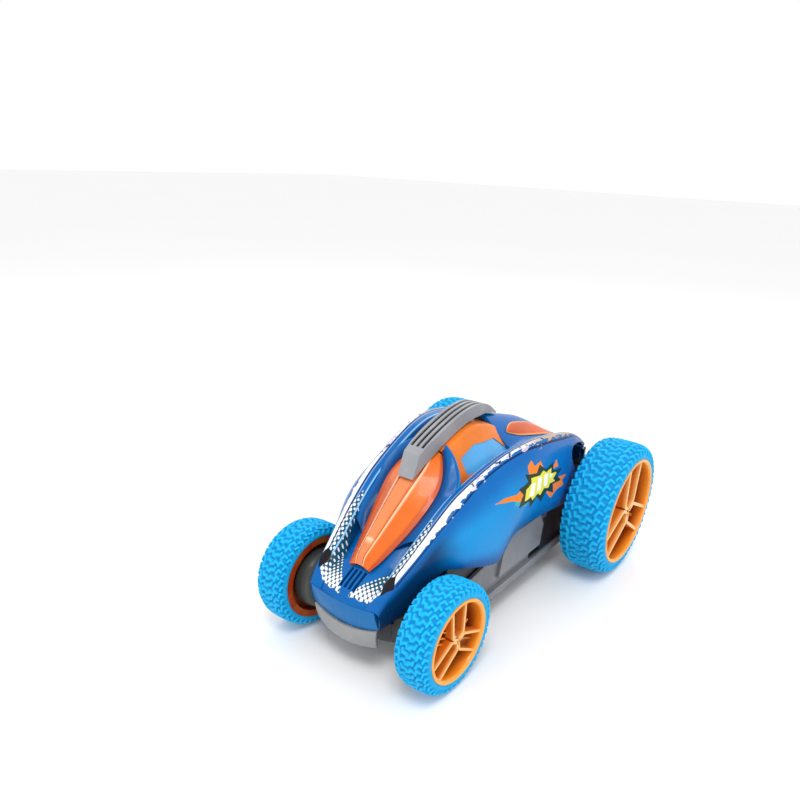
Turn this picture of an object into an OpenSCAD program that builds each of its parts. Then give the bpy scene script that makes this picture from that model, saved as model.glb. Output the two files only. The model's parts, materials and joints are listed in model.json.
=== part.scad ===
// Radio controlled stunt car: free front wheels, one geared motor for each rear wheel.
// Origin under the middle of the car on the ground; +X forward, +Y to the car's left, +Z up.

/* [Wheels] */
// Distance between the front and rear axles
wheelbase = 140; // [139:0.5:141]
// Outside diameter of a front tyre
front_tyre_d = 52; // [51:0.5:52]
// Width of a front tyre
front_tyre_w = 17; // [17:0.5:18]
// Distance over the outside faces of the front tyres
front_track = 99.5; // [99.5:0.5:101]
// Outside diameter of a rear tyre
rear_tyre_d = 75; // [74:0.5:75]
// Width of a rear tyre
rear_tyre_w = 26; // [25:0.5:26]
// Distance over the outside faces of the rear tyres
rear_track = 133; // [133:0.5:135]
// Number of wide spokes in a rim
spoke_count = 3; // [3:1:4]

/* [Body] */
// Thickness of the moulded body skin
skin_t = 1.6; // [1.4:0.1:1.8]
// Distance from the ground to the bottom of the chassis
ground_gap = 14; // [13.5:0.1:14]
// Width of the roof spine
spine_w = 10.4; // [10:0.2:11]
// Gap between neighbouring mouldings
panel_gap = 0.25; // [0.2:0.05:0.3]

/* [Drive] */
// Module of the gears
gear_m = 0.8; // [0.78:0.01:0.8]
// Teeth on the final gear
final_teeth = 36; // [34:2:36]
// Teeth on the small wheel of the compound gear
small_teeth = 12; // [12:1:13]
// Teeth on the large wheel of the compound gear
large_teeth = 38; // [36:1:38]
// Teeth on the motor pinion
pinion_teeth = 10; // [10:1:11]
// Running clearance round every turning shaft
run_gap = 0.05; // [0.03:0.01:0.08]
// Travel of the power switch
switch_travel = 3; // [2.5:0.1:3]

/* [Hidden] */
$fn = 48;
soft_fn = 14;
eps = 0.01;

// Axles
front_r = front_tyre_d / 2;
rear_r = rear_tyre_d / 2;
front_x = (wheelbase + rear_r - front_r) / 2;
rear_x = front_x - wheelbase;
front_in = front_track / 2 - front_tyre_w;
rear_in = rear_track / 2 - rear_tyre_w;
pin_r = 1.5;
axle_r = 2;

// Gear train: rear axle, compound gear and motor shaft, seen from the side
final_a = -8;
pinion_a = -12;
final_c = gear_m * (final_teeth + small_teeth) / 2;
pinion_c = gear_m * (large_teeth + pinion_teeth) / 2;
comp_x = rear_x + final_c * cos(final_a);
comp_z = rear_r + final_c * sin(final_a);
motor_x = comp_x + pinion_c * cos(pinion_a);
motor_z = comp_z + pinion_c * sin(pinion_a);
pressure_a = 20;
small_shift = 0.4;
pinion_shift = 0.5;
backlash = 0.14;
comp_pin_r = 1;
shaft_r = 0.75;
motor_r = 7.75;
box_in = 22;
box_out = 33.5;
box_wall = 1.5;
bush_r = 3.5;

// Chassis
tray_z = ground_gap;
floor_t = 2;
floor_z = tray_z + floor_t;
wall_top = 24;
nose_x = 84;
cell_r = 7;
cell_count = 3;
cell_len = 49;
cell_x = 20;
door_l = 52;
door_w = 52;
door_screw_x = cell_x + door_l / 2 + 3.4;
switch_x = 60;
board_z = 36;
post_front = [66, 13];
post_rear = [-74, 15];

// Stations of the body, each [distance forward, value], from tail to nose
ridge_y = [[-78, 29], [-70, 30], [-52, 31.2], [-35, 32.2], [-15, 33], [0, 32.2], [19, 29.4],
    [44, 26], [66, 23.3], [84, 20.3], [95, 18]];
ridge_z = [[-78, 63], [-70, 69], [-52, 78.5], [-35, 83.2], [-15, 87], [0, 87.8], [19, 84.8],
    [44, 76], [57, 68.4], [75, 55], [87, 46], [91, 43], [95, 37.5]];
skirt_y = [[-65, 36], [-50, 37.5], [-33, 38.5], [-12, 39.8], [5, 40.3], [30, 40], [40, 39],
    [50, 37], [57, 33.6], [62, 30.3], [68, 27.5], [76, 25], [85, 22], [95, 18.6]];
skirt_z = [[-65, 37], [-50, 41], [-33, 44.8], [-12, 49], [5, 51], [20, 50], [28, 43.5],
    [33, 41.2], [50, 45.5], [57, 47], [62, 47], [68, 41], [76, 34.5], [85, 30.5], [95, 27.5]];
groove_d = [[-78, 0.6], [-60, 3.5], [-30, 5], [0, 8], [30, 9], [60, 9], [75, 7.5], [84, 3.5],
    [95, 0.3]];
hood_z = [[42, 76], [50, 70.5], [60, 63], [70, 55], [78, 49], [84, 45.5], [92, 40.8],
    [95.4, 36]];
deck_z = [[-78, 63.5], [-70, 69.5], [-60, 75.5], [-44, 83.2], [-30, 87.8], [-20, 90.6],
    [-8, 93.8]];
// How far back each line of the flank runs: [place down the flank, distance forward]
flank_end = [[0, -76], [0.12, -66], [0.3, -47], [0.45, -43], [0.6, -46], [0.8, -55], [1, -63]];
insert_hw = [[33, 6.8], [37, 10.5], [43, 14], [50, 14.4], [62, 12], [77, 8], [83, 5.8]];
insert_edge = [[33, 86.3], [37, 83.4], [43, 77.6], [50, 71], [62, 61], [77, 51], [83, 47.6]];
insert_crown = [[33, 87.6], [41, 83.7], [50.5, 78], [62, 69.4], [74.4, 59.4], [80, 54.8],
    [82, 52.4], [83, 49]];
// How far the insert has fallen from crown to edge: [place across, share of the fall]
insert_section = [[0, 0], [0.24, 0], [0.28, 0.07], [0.33, 0.03], [0.55, 0.36], [0.8, 0.74],
    [0.88, 0.87], [1, 1]];
spine_top = [[-20.5, 91.9], [-10, 98.4], [1.5, 101.7], [14, 101], [28, 97.4], [40, 93],
    [46.6, 89.6]];
spine_under = [[-20.5, 91.1], [-7.7, 94.8], [5.7, 95.6], [18, 93.3], [29.8, 89.4], [41, 84.6],
    [51.4, 79.2]];
// Middle of the rounded pillar edge, from the groove up to the roof spine
pillar_path = [[64, 18.6, 58], [58, 19.6, 63.5], [50, 20.2, 68.6], [42, 20.4, 74], [38, 18.6, 79],
    [35.5, 14.8, 84.4], [33.8, 11, 87.6], [32.4, 7.4, 89.4]];
canopy_top = [[-14, 87], [-4, 91.4], [8, 93.9], [18, 92.6], [27, 89.6], [32, 87.4]];

function slope(c, i) =
    let(a = max(i - 1, 0), b = min(i + 1, len(c) - 1))
    (c[b][1] - c[a][1]) / (c[b][0] - c[a][0]);
function span_of(c, x, i = 0) =
    i >= len(c) - 2 || x <= c[i + 1][0] ? i : span_of(c, x, i + 1);
// Smooth curve through a list of stations
function curve(c, x) =
    let(i = span_of(c, x), h = c[i + 1][0] - c[i][0], t = (x - c[i][0]) / h,
        t2 = t * t, t3 = t2 * t)
    (2 * t3 - 3 * t2 + 1) * c[i][1] + (t3 - 2 * t2 + t) * h * slope(c, i)
    + (3 * t2 - 2 * t3) * c[i + 1][1] + (t3 - t2) * h * slope(c, i + 1);
function unit(v) = v / max(norm(v), 1e-6);
function steps(n) = [for (i = [0:n]) i / n];
function mix(a, b, t) = a + (b - a) * t;

// Faces of a closed sheet: an outer grid of points followed by an inner one
function sheet_faces(rows, cols) =
    let(n = rows * cols)
    concat(
        [for (r = [0:rows - 2], c = [0:cols - 2]) let(a = r * cols + c)
            each [[a, a + cols, a + 1], [a + 1, a + cols, a + cols + 1]]],
        [for (r = [0:rows - 2], c = [0:cols - 2]) let(a = n + r * cols + c)
            each [[a, a + 1, a + cols], [a + 1, a + cols + 1, a + cols]]],
        [for (c = [0:cols - 2]) let(a = c, b = (rows - 1) * cols + c)
            each [[a, a + 1, n + a], [a + 1, n + a + 1, n + a],
                [b, n + b, b + 1], [b + 1, n + b, n + b + 1]]],
        [for (r = [0:rows - 2]) let(a = r * cols, b = a + cols - 1)
            each [[a, n + a, a + cols], [a + cols, n + a, n + a + cols],
                [b, b + cols, n + b], [b + cols, n + b + cols, n + b]]]
    );
function grid_normal(g, r, c) =
    let(rows = len(g), cols = len(g[0]),
        along = g[min(r + 1, rows - 1)][c] - g[max(r - 1, 0)][c],
        across = g[r][min(c + 1, cols - 1)] - g[r][max(c - 1, 0)])
    unit(cross(across, along));

// Curved sheet of even thickness under a grid of points
module sheet(g, t) {
    rows = len(g);
    cols = len(g[0]);
    outer = [for (row = g) each row];
    inner = [for (r = [0:rows - 1], c = [0:cols - 1]) g[r][c] - t * grid_normal(g, r, c)];
    polyhedron(concat(outer, inner), sheet_faces(rows, cols), convexity = 6);
}

// Solid between a grid of points raised by lift and the same grid lowered by drop
module slab(g, drop, lift = 0) {
    outer = [for (row = g) each [for (p = row) p + [0, 0, lift]]];
    inner = [for (row = g) each [for (p = row) p - [0, 0, drop]]];
    polyhedron(concat(outer, inner), sheet_faces(len(g), len(g[0])), convexity = 6);
}

module along_y(x, y0, y1, z) {
    translate([x, y1, z]) rotate([90, 0, 0]) linear_extrude(y1 - y0) children();
}
module rod_y(x, y0, y1, z, r) {
    translate([x, y0, z]) rotate([-90, 0, 0]) cylinder(h = y1 - y0, r = r);
}
module turned_y(x, y, z) {
    translate([x, y, z]) rotate([-90, 0, 0]) rotate_extrude() children();
}
module right() {
    mirror([0, 1, 0]) children();
}
module both() {
    children();
    right() children();
}

// ---- body mouldings ----

function band_w(x) = mix(2.5, 5.5, min(1, max(0, (95 - x) / 20)));
// Point on the side of the body; -2 is the foot of the inner wall, 0 the crest, 1 the skirt
function flank_point(x, t) =
    let(ry = curve(ridge_y, x), rz = curve(ridge_z, x), w = band_w(x), d = curve(groove_d, x),
        xs = max(-65, x), sy = curve(skirt_y, xs), sz = curve(skirt_z, xs), h = rz - sz)
    t <= -1 ? [x, ry - w - 2.5 * (-1 - t), mix(rz - 0.25 * w, rz - d - 1, -1 - t)]
    : t <= 0 ? [x, ry + w * t, rz - 0.25 * w * t * t]
    : let(a = [ry, rz], b = [ry + 0.35 * (sy - ry) + 2.2, rz - 0.12 * h],
          c = [sy + 2.4, sz + 0.5 * h], e = [sy, sz], u = 1 - t)
      let(p = u * u * u * a + 3 * u * u * t * b + 3 * u * t * t * c + t * t * t * e)
      [x, p[0], p[1]];
flank_lines = concat([-2, -1.5, -1, -0.5], [for (t = steps(11)) t]);
flank_grid = [for (s = steps(36)) [for (t = flank_lines)
    let(tail = t <= 0 ? -76 : curve(flank_end, t), x = mix(94.6 - 1.6 * max(t, 0), tail, s))
    flank_point(x, t)]];

function hood_half(x) = curve(ridge_y, x) - band_w(x) - 1.8;
function hood_point(x, v) =
    let(y = hood_half(x) * v, edge = curve(ridge_z, x) - curve(groove_d, x) - 0.4,
        bow = 0.0068 * y * y * max(0, (x - 80) / 15))
    [x - bow, y, mix(curve(hood_z, x), edge, v * v)];
function nose_point(z, v) =
    let(y = mix(18.2, 18.9, z) * v, top = 36 + 1.6 * v * v, foot = 24.9 + 3 * v * v)
    [95.6 - mix(0.003, 0.0046, z) * y * y - 1.2 * z * z, y, mix(top, foot, z)];
hood_cols = [for (v = steps(12)) 2 * v - 1];
hood_grid = concat(
    [for (z = [1, 0.7, 0.4, 0.12]) [for (v = hood_cols) nose_point(z, v)]],
    [for (s = steps(18)) [for (v = hood_cols) hood_point(mix(95.2, 42.5, s), v)]]);

function deck_half(x) = curve(ridge_y, x) - mix(-0.5, band_w(x) + 1.8,
    min(1, max(0, (x + 78) / 16)));
function deck_point(x, v) =
    let(y = deck_half(x) * v, c = curve(deck_z, x), k = min(1, abs(v) * 1.25),
        edge = curve(ridge_z, x) - curve(groove_d, x) - 0.4)
    [x, y, mix(c, min(edge, c - 1), k * k * (3 - 2 * k))];
function tail_point(t, v) =
    let(a = 82 * t)
    [-78 - 6.5 * sin(a), mix(29.5, 26.5, t) * v, 62.7 - 26 * (1 - cos(a)) - 0.6 * v * v];
deck_grid = concat(
    [for (s = steps(16)) [for (v = hood_cols) deck_point(mix(-8, -77.5, s), v)]],
    [for (t = steps(6)) [for (v = hood_cols) tail_point(mix(0.12, 1, t), v)]]);

pillar_r = 1.9;
// Blade between the insert and the pillar edge
function blade_point(s, v) =
    let(k = s * (len(pillar_path) - 1), i = min(floor(k), len(pillar_path) - 2),
        edge = mix(pillar_path[i], pillar_path[i + 1], k - i), x = mix(70, 35, s))
    mix([x, curve(insert_hw, x) - 0.5, curve(insert_edge, x) - 1], edge, v)
    + [0, 0, 1.2 * sin(180 * v)];
blade_grid = [for (s = steps(7)) [for (v = [1, 0.5, 0]) blade_point(s, v)]];
module pillar() {
    for (i = [0:len(pillar_path) - 2]) hull() {
        translate(pillar_path[i]) sphere(r = pillar_r, $fn = 8);
        translate(pillar_path[i + 1]) sphere(r = pillar_r, $fn = 8);
    }
    sheet(blade_grid, skin_t);
}
module shell_post(p, top) {
    translate([p[0], p[1], floor_z]) difference() {
        cylinder(h = top - floor_z, r = 3, $fn = soft_fn);
        translate([0, 0, -eps]) cylinder(h = 12, r = 1.1, $fn = soft_fn);
    }
}
module grille_slots(grow) {
    for (i = [-1.5:1:1.5]) translate([88, i * 3, 44.2])
        rotate([0, 33, 0]) cube([8 + grow, 1.6 + grow, 12 + grow], center = true);
}
module body_shell() color("royalblue") difference() {
    union() {
        both() {
            sheet(flank_grid, skin_t);
            pillar();
            shell_post(post_front, 57);
            shell_post(post_rear, 62);
        }
        sheet(hood_grid, skin_t);
        sheet(deck_grid, skin_t);
    }
    insert_body(panel_gap, 6);
    spine_body(panel_gap);
    canopy_body(panel_gap);
    both() deck_insert_body(panel_gap);
    grille_slots(0);
    // Room for the tyres
    both() rod_y(front_x, front_in - 1.2, front_in + 12, front_r, front_r + 1.3);
    both() rod_y(rear_x, rear_in - 1, rear_in + 12, rear_r, rear_r + 1.5);
    both() rod_y(rear_x, 30, rear_in + 2, rear_r, 7);
}

insert_cols = concat([for (i = [len(insert_section) - 1:-1:1]) -insert_section[i][0]],
    [for (p = insert_section) p[0]]);
function insert_grid(g) = [for (s = steps(24)) let(x = mix(83 + g, 33 - g, s),
        q = min(83, max(33, x)))
    [for (v = insert_cols) [x, v * (curve(insert_hw, q) + g),
        mix(curve(insert_crown, q), curve(insert_edge, q), lookup(abs(v), insert_section))]]];
module insert_body(g, drop) {
    slab(insert_grid(g), drop, g);
}
module hood_insert() color("darkorange") insert_body(0, 2.4);

module hood_grille() color("#16181c") {
    translate([84.8, 0, 40.4]) rotate([0, 33, 0]) cube([13, 14, 1.4], center = true);
}

function spine_outline(g) = concat(
    [for (s = steps(16)) let(x = mix(-20.5, 46.6, s)) [x, curve(spine_top, x) + g]],
    [for (s = steps(12)) let(x = mix(51.4, -20.5, s)) [x, curve(spine_under, x) - g]]);
module spine_body(g) {
    along_y(0, -spine_w / 2 - g, spine_w / 2 + g, 0) polygon(spine_outline(g));
}
module roof_spine() color("gray") difference() {
    spine_body(0);
    for (i = [-1:1]) {
        // Long slots let into the crown of the spine
        along_y(0, i * 3 - 0.75, i * 3 + 0.75, 0) polygon(concat(
            [for (s = steps(12)) let(x = mix(-9, 43, s)) [x, curve(spine_top, x) + 1]],
            [for (s = steps(12)) let(x = mix(43, -9, s)) [x, curve(spine_top, x) - 2.2]]));
    }
    // Narrower towards the tail and the front block
    both() translate([0, spine_w / 2, 80]) rotate([0, 0, 9]) translate([-40, 0, 0])
        cube([40, 8, 30]);
    both() translate([34, spine_w / 2, 70]) rotate([0, 0, -3.4]) cube([30, 8, 40]);
}

canopy_base = 72.8;
canopy_half = [[0, 1.01], [4, 1], [8, 0.97], [9.8, 0.86], [15, 0.5], [20.6, 0.12], [21.4, 0]];
function canopy_row(x, g) =
    let(zt = curve(canopy_top, x) + g, foot = min(21.4, curve(ridge_y, x) - 10),
        half = [for (p = canopy_half) let(k = max(0, p[0] - 8) / 13.4)
            [(p[0] + k * (foot - 21.4)) * (1 + g / 21), canopy_base + (zt - canopy_base) * p[1]]])
    concat([for (i = [len(half) - 1:-1:1]) [x, -half[i][0], half[i][1]]],
        [for (p = half) [x, p[0], p[1]]]);
function canopy_grid(g) = [for (s = steps(14)) canopy_row(mix(32 + g, -14, s), g)];
module canopy_body(g) {
    slab(canopy_grid(g), 7);
}
module window_prism(g) {
    along_y(0, 9, 30, 0) polygon([[26.4 + g, 76.2 - g], [25.6 + g, 83.4], [15, 87 + g],
        [-1.5 - g, 85.8 + g], [-9 - g, 79], [-9 - g, 76.2 - g]]);
}
module canopy() color("darkorange") difference() {
    sheet(canopy_grid(0), 1.5);
    both() window_prism(0);
}
module canopy_windows() color("#4aa6e8") both() intersection() {
    translate([0, 0, -0.3]) sheet(canopy_grid(-0.5), 0.9);
    window_prism(-0.2);
}
module cockpit_tub() color("#152a5e") {
    translate([-15, -18.4, 67]) difference() {
        cube([45, 36.8, 4.2]);
        translate([1.4, 1.4, 1.4]) cube([42.2, 34, 4]);
    }
    // Legs that stand on the circuit board
    both() for (x = [-7, 25]) translate([x, 15.2, board_z + 1.3]) cube([3, 3, 66 - board_z]);
}

lozenge = [[-15, 12, 0.5], [-24, 12, 3.6], [-40, 12.6, 5], [-52, 12.8, 4.6], [-62, 13, 2.8],
    [-67, 13, 0.6]];
function lozenge_grid(g) = [for (p = lozenge) [for (v = [-1, -0.6, 0, 0.6, 1])
    let(y = p[1] + v * (p[2] + g), q = deck_point(p[0], y / deck_half(p[0])))
    q + [g * sign(p[0] + 40), 0, 0.7 * (1 - v * v) - 0.1]]];
module deck_insert_body(g) {
    slab(lozenge_grid(g), 1.2 + 2 * g, 0.6 + g);
}
module deck_insert() color("darkorange") deck_insert_body(0);

function bumper_point(k, v) =
    let(y = mix(18.4, 17, k) * v,
        top = [95.6 - 0.0058 * y * y, y, 24.4 + 2.8 * v * v],
        foot = [94.6 - 0.01 * y * y, y, ground_gap + 1 + 1.6 * v * v])
    mix(top, foot, k) + [0.7 * sin(180 * k), 0, 0];
bumper_grid = [for (k = [1, 0.8, 0.6, 0.4, 0.2, 0]) [for (v = hood_cols) bumper_point(k, v)]];
module front_bumper() color("#a9abad") {
    sheet(bumper_grid, 1.8);
    // Lugs that meet the tray
    both() translate([nose_x + 0.05, 5, 17]) cube([10, 3, 4]);
}

// ---- chassis ----

tray_half = [[nose_x, 0], [nose_x, 12.4], [81, 18.8], [62, 18.8], [46, 30], [-56, 30],
    [-61, 24], [-84, 24], [-86, 20], [-86, 0]];
module tray_outline() {
    polygon(concat(tray_half, [for (i = [len(tray_half) - 2:-1:1]) [tray_half[i][0],
        -tray_half[i][1]]]));
}
module chassis_tray() color("#3c3f44") difference() {
    union() {
        tray_walls();
        // Boss for the door screw
        translate([cell_x + 27.2, -6.5, floor_z - 1]) cube([7, 13, 6]);
    }
    // Pocket for the door's tab, and its screw
    translate([cell_x + door_l / 2 - 1, -5.3, tray_z - 1]) cube([8.3, 10.6, 2.9]);
    translate([door_screw_x, 0, tray_z - 1]) cylinder(h = 8, r = 0.95);
}
module tray_walls() difference() {
    union() {
        translate([0, 0, tray_z]) linear_extrude(wall_top - tray_z) tray_outline();
        // Battery box and board posts
        translate([cell_x - 27.6, -28.4, tray_z]) cube([55.2, 56.8, 18]);
        both() for (x = [-3, 43]) translate([x, 24, tray_z]) cylinder(h = board_z - tray_z, r = 2.4);
    }
    // Inside of the tray, in front of, round and behind the battery box
    translate([cell_x + 27.6, -16.8, floor_z]) cube([nose_x - cell_x - 29.6, 33.6, 40]);
    both() translate([48, 0, floor_z]) cube([12, 18, 40]);
    translate([-84, -22, floor_z]) cube([cell_x - 27.6 + 84, 44, 40]);
    // Room for the gearboxes
    both() translate([-90, 21.6, floor_z]) cube([76, 20, 40]);
    // Battery space and door opening
    translate([cell_x - 26.4, -26.4, floor_z]) cube([52.8, 52.8, 40]);
    translate([cell_x - door_l / 2 - 0.3, -door_w / 2 - 0.3, tray_z - 1])
        cube([door_l + 0.6, door_w + 0.6, 10]);
    // Switch slot
    translate([switch_x - 2.6, -2, tray_z - 1]) cube([5.2 + switch_travel, 4, 10]);
    // Body screws
    both() for (p = [post_front, post_rear]) translate([p[0], p[1], tray_z - 1])
        cylinder(h = 10, r = 1.3);
    both() for (p = [post_front, post_rear]) translate([p[0], p[1], tray_z - 1])
        cylinder(h = 2, r = 2.4);
}

module side_sill() color("#8d9095") {
    // Lower lip, filled in behind where the gearbox leaves room
    along_y(0, 33.6, 34.2, 0)
        polygon([[47, tray_z + 0.2], [48, 19], [-53, 19], [-55.5, tray_z + 0.2]]);
    along_y(0, 30.1, 33.6, 0)
        polygon([[47, tray_z + 0.2], [48, 19], [-13, 19], [-13, tray_z + 0.2]]);
    along_y(0, 30.6, 32.4, 0)
        polygon([[46, 19], [47, 33], [25, 36.4], [15, 48], [-13.5, 46.6], [-13.5, 19]]);
    // Raised plate
    along_y(0, 32.4, 34.2, 0)
        polygon([[20, 24], [17, 36], [9, 44], [-13, 43.2], [-13, 24]]);
    along_y(0, 33.6, 34.2, 0)
        polygon([[-12.9, 24], [-12.9, 43.2], [-20, 43], [-24, 36], [-22, 24]]);
    // Light line above the lower lip
    along_y(0, 34.2, 34.8, 0) polygon([[47.6, 17.4], [48, 19], [-53, 19], [-53.8, 17.4]]);
    // Rib that closes the sill against the battery box
    along_y(0, 28.6, 30.6, 0) polygon([[44, 25], [44, 32], [26, 32], [26, 25]]);
}

drum_r = 14.5;
drum_face = front_in + 2.3;
module hub_carrier() color("#4b4d50") difference() {
    union() {
        turned_y(front_x, 0, front_r) polygon([[0, 26.2], [7, 26.4], [11, 27.4], [13.4, 29],
            [drum_r, 31.2], [drum_r, drum_face], [12.9, drum_face], [12.9, 31.6], [11.8, 30],
            [4, 29.4], [4, drum_face], [0, drum_face]]);
        translate([front_x - 7, 18.9, 17]) cube([14, 8.6, 13]);
    }
    rod_y(front_x, 24, 40, front_r, pin_r);
}
module front_axle_pins() color("silver") both() rod_y(front_x, 24, front_in + 13.1, front_r, pin_r);
module front_wheel_screws() color("silver") both() {
    turned_y(front_x, front_in, front_r) polygon([[0, 13.1], [3, 13.1], [3, 13.6], [2.3, 13.6],
        [2.3, 14.2], [1.7, 14.8], [0, 14.9]]);
}

// ---- wheels ----

// Rim profile pieces are measured from the inner face of the tyre outwards
module rim(r, w, hub_r, bore_r, x, y, z, hub_in) {
    difference() {
        union() {
            turned_y(x, y, z) polygon([[r - 1.9, 0.1], [r + 2.2, 0.1], [r + 2.2, 1.1], [r, 1.1],
                [r, w - 1], [r + 0.5, w - 0.5], [r + 0.2, w], [r - 1, w], [r - 1.9, w - 1.2]]);
            // Web that closes the rim
            turned_y(x, y, z) polygon([[hub_r - 0.5, 0.36 * w], [r - 1, 0.36 * w],
                [r - 1, 0.36 * w + 1.4], [hub_r - 0.5, 0.36 * w + 1.4]]);
            turned_y(x, y, z) polygon([[0, hub_in], [hub_r, hub_in], [hub_r, w - 1.7], [0, w - 1.7]]);
            for (i = [0:spoke_count - 1]) wheel_spoke(r, w, hub_r, x, y, z, 90 + i * 360 / spoke_count);
        }
        rod_y(x, y - 1, y + w, z, bore_r);
        // Pocket for the screw head
        rod_y(x, y + w - 3.9, y + w + 1, z, hub_r - 1);
    }
}
module wheel_spoke(r, w, hub_r, x, y, z, a) {
    half = 0.3 * r;
    reach = sqrt(pow(r - 0.6, 2) - half * half);
    translate([x, y, z]) rotate([0, -a, 0]) {
        // Two raised edges with a channel between them
        for (s = [-1, 1]) along_y(0, 0.62 * w, w - 0.9, 0)
            polygon([[hub_r - 0.6, s * 0.2 * r], [reach, s * half], [reach, s * (half - 0.08 * r)],
                [hub_r - 0.6, s * 0.13 * r]]);
        along_y(0, 0.62 * w, 0.74 * w, 0)
            polygon([[hub_r - 0.6, -0.2 * r], [reach, -half], [reach, half], [hub_r - 0.6, 0.2 * r]]);
    }
    // Thin fins between the spokes
    translate([x, y, z]) rotate([0, -a - 180 / spoke_count, 0]) for (i = [-1:1])
        along_y(0, 0.36 * w + 1, 0.66 * w, 0)
            polygon([[0.5 * r, i * 0.13 * r - 0.3], [r - 1, i * 0.17 * r - 0.4],
                [r - 1, i * 0.17 * r + 0.4], [0.5 * r, i * 0.13 * r + 0.3]]);
}
module tyre(r, w, rim_r, blocks, x, y, z) {
    difference() {
        turned_y(x, y, z) polygon([[rim_r, 1.3], [rim_r + 2.3, 1.3], [rim_r + 2.5, 0.4],
            [r - 2.2, 0], [r - 0.8, 0.09 * w], [r, 0.17 * w], [r, 0.83 * w], [r - 0.8, 0.91 * w],
            [r - 2.2, w - 0.1], [rim_r + 2, w], [rim_r + 0.6, w - 0.6], [rim_r, w - 1.2]]);
        // Slanted tread grooves
        for (i = [0:blocks - 1], s = [-1, 1]) translate([x, y + w / 2, z])
            rotate([0, (i + 0.25 * s) * 360 / blocks, 0])
            translate([r - 0.4, s * 0.27 * w, 0]) rotate([s * 32, 0, 0])
            cube([1.8, 0.5 * w, 1.3], center = true);
    }
}
front_rim_r = 0.743 * front_r;
rear_rim_r = 0.785 * rear_r;
module front_rim() color("orange")
    rim(front_rim_r, front_tyre_w, 4.6, pin_r + run_gap, front_x, front_in, front_r, 3);
module front_tyre() color("deepskyblue")
    tyre(front_r, front_tyre_w, front_rim_r + 0.05, 22, front_x, front_in, front_r);
module hub_cap(w, hub_r, x, y, z) {
    turned_y(x, y + w, z) polygon([[0, -2], [hub_r - 1.1, -2], [hub_r - 1.1, -1.7], [hub_r, -1.65],
        [hub_r, -0.9], [hub_r - 0.8, -0.4], [0, -0.2]]);
}
module front_hub_cap() color("orange") hub_cap(front_tyre_w, 4.6, front_x, front_in, front_r);

module rear_rim() color("orange")
    rim(rear_rim_r, rear_tyre_w, 6.4, axle_r, rear_x, rear_in, rear_r, 0.6);
module rear_tyre() color("deepskyblue")
    tyre(rear_r, rear_tyre_w, rear_rim_r + 0.05, 26, rear_x, rear_in, rear_r);
module rear_hub_cap() color("orange") hub_cap(rear_tyre_w, 6.4, rear_x, rear_in, rear_r);
module rear_axle() color("silver")
    rod_y(rear_x, box_in + 0.4, rear_in + rear_tyre_w - 3.9, rear_r, axle_r);
module rear_wheel_screw() color("silver")
    turned_y(rear_x, rear_in + rear_tyre_w, rear_r) polygon([[0, -3.9], [4.2, -3.9], [4.2, -3.3],
        [3, -3.3], [3, -2.8], [2.2, -2.2], [0, -2.1]]);

// ---- drive ----

function inv(a) = tan(a) - a * PI / 180;
// Half thickness, in degrees, of a gear tooth at one radius
function half_tooth(teeth, shift, radius) =
    let(pitch = gear_m * teeth / 2, base = pitch * cos(pressure_a), q = max(radius, base))
    (PI / 2 + 2 * shift * tan(pressure_a)) / teeth * 180 / PI
    - backlash / 4 / pitch * 180 / PI
    + (inv(pressure_a) - inv(acos(base / q))) * 180 / PI;
module gear_profile(teeth, shift) {
    pitch = gear_m * teeth / 2;
    root = pitch - gear_m * (1.25 - shift);
    tip = pitch + gear_m * (0.92 + shift);
    flank = [for (t = [0, 0.2, 0.45, 0.72, 1]) mix(root, tip, t)];
    polygon([for (i = [0:teeth - 1]) let(mid = i * 360 / teeth)
        each concat(
            [for (q = flank) let(a = mid - half_tooth(teeth, shift, q)) q * [cos(a), sin(a)]],
            [for (i = [len(flank) - 1:-1:0])
                let(q = flank[i], a = mid + half_tooth(teeth, shift, q)) q * [cos(a), sin(a)]])]);
}
module gear(teeth, shift, x, y0, y1, z, phase) {
    along_y(x, y0, y1, z) rotate(phase) gear_profile(teeth, shift);
}
module final_gear() color("ivory") difference() {
    union() {
        gear(final_teeth, -small_shift, rear_x, 25, 28.4, rear_r, final_a);
        rod_y(rear_x, 24, 28.6, rear_r, 4);
    }
    rod_y(rear_x, 20, 40, rear_r, axle_r);
}
module compound_gear() color("ivory") difference() {
    union() {
        gear(small_teeth, small_shift, comp_x, 24.8, 28.9, comp_z, final_a + 180 + 180 / small_teeth);
        gear(large_teeth, -pinion_shift, comp_x, 28.9, 31, comp_z, pinion_a);
    }
    rod_y(comp_x, 20, 40, comp_z, comp_pin_r + run_gap);
}
module motor_pinion() color("ivory") difference() {
    gear(pinion_teeth, pinion_shift, motor_x, 28.6, 31.3, motor_z, pinion_a + 180 + 180 / pinion_teeth);
    rod_y(motor_x, 20, 40, motor_z, shaft_r);
}
module motor_shaft() color("silver") rod_y(motor_x, 23.7, 31.6, motor_z, shaft_r);
module motor() color("#b9bcc0") {
    intersection() {
        rod_y(motor_x, 2.2, box_in - 0.1, motor_z, motor_r);
        translate([motor_x - 9, 0, motor_z - 6]) cube([18, 40, 12]);
    }
    rod_y(motor_x, 1.2, 2.2, motor_z, 3);
    rod_y(motor_x, box_in - 0.1, 23.4, motor_z, 2.6);
}
module gearbox_outline(grow) {
    hull() {
        translate([rear_x, rear_r]) circle(r = 16 + grow, $fn = 32);
        translate([comp_x, comp_z]) circle(r = 16.6 + grow, $fn = 32);
    }
    hull() {
        translate([comp_x, comp_z]) circle(r = 16.6 + grow, $fn = 32);
        translate([motor_x, motor_z]) circle(r = 8.4 + grow, $fn = 32);
    }
}
screw_spots = [[rear_x - 8, rear_r + 16.4], [comp_x - 2, comp_z + 18.6], [motor_x + 3, motor_z + 10.8]];
module screw_bosses(y0, y1, r) {
    for (p = screw_spots) rod_y(p[0], y0, y1, p[1], r);
}
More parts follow.
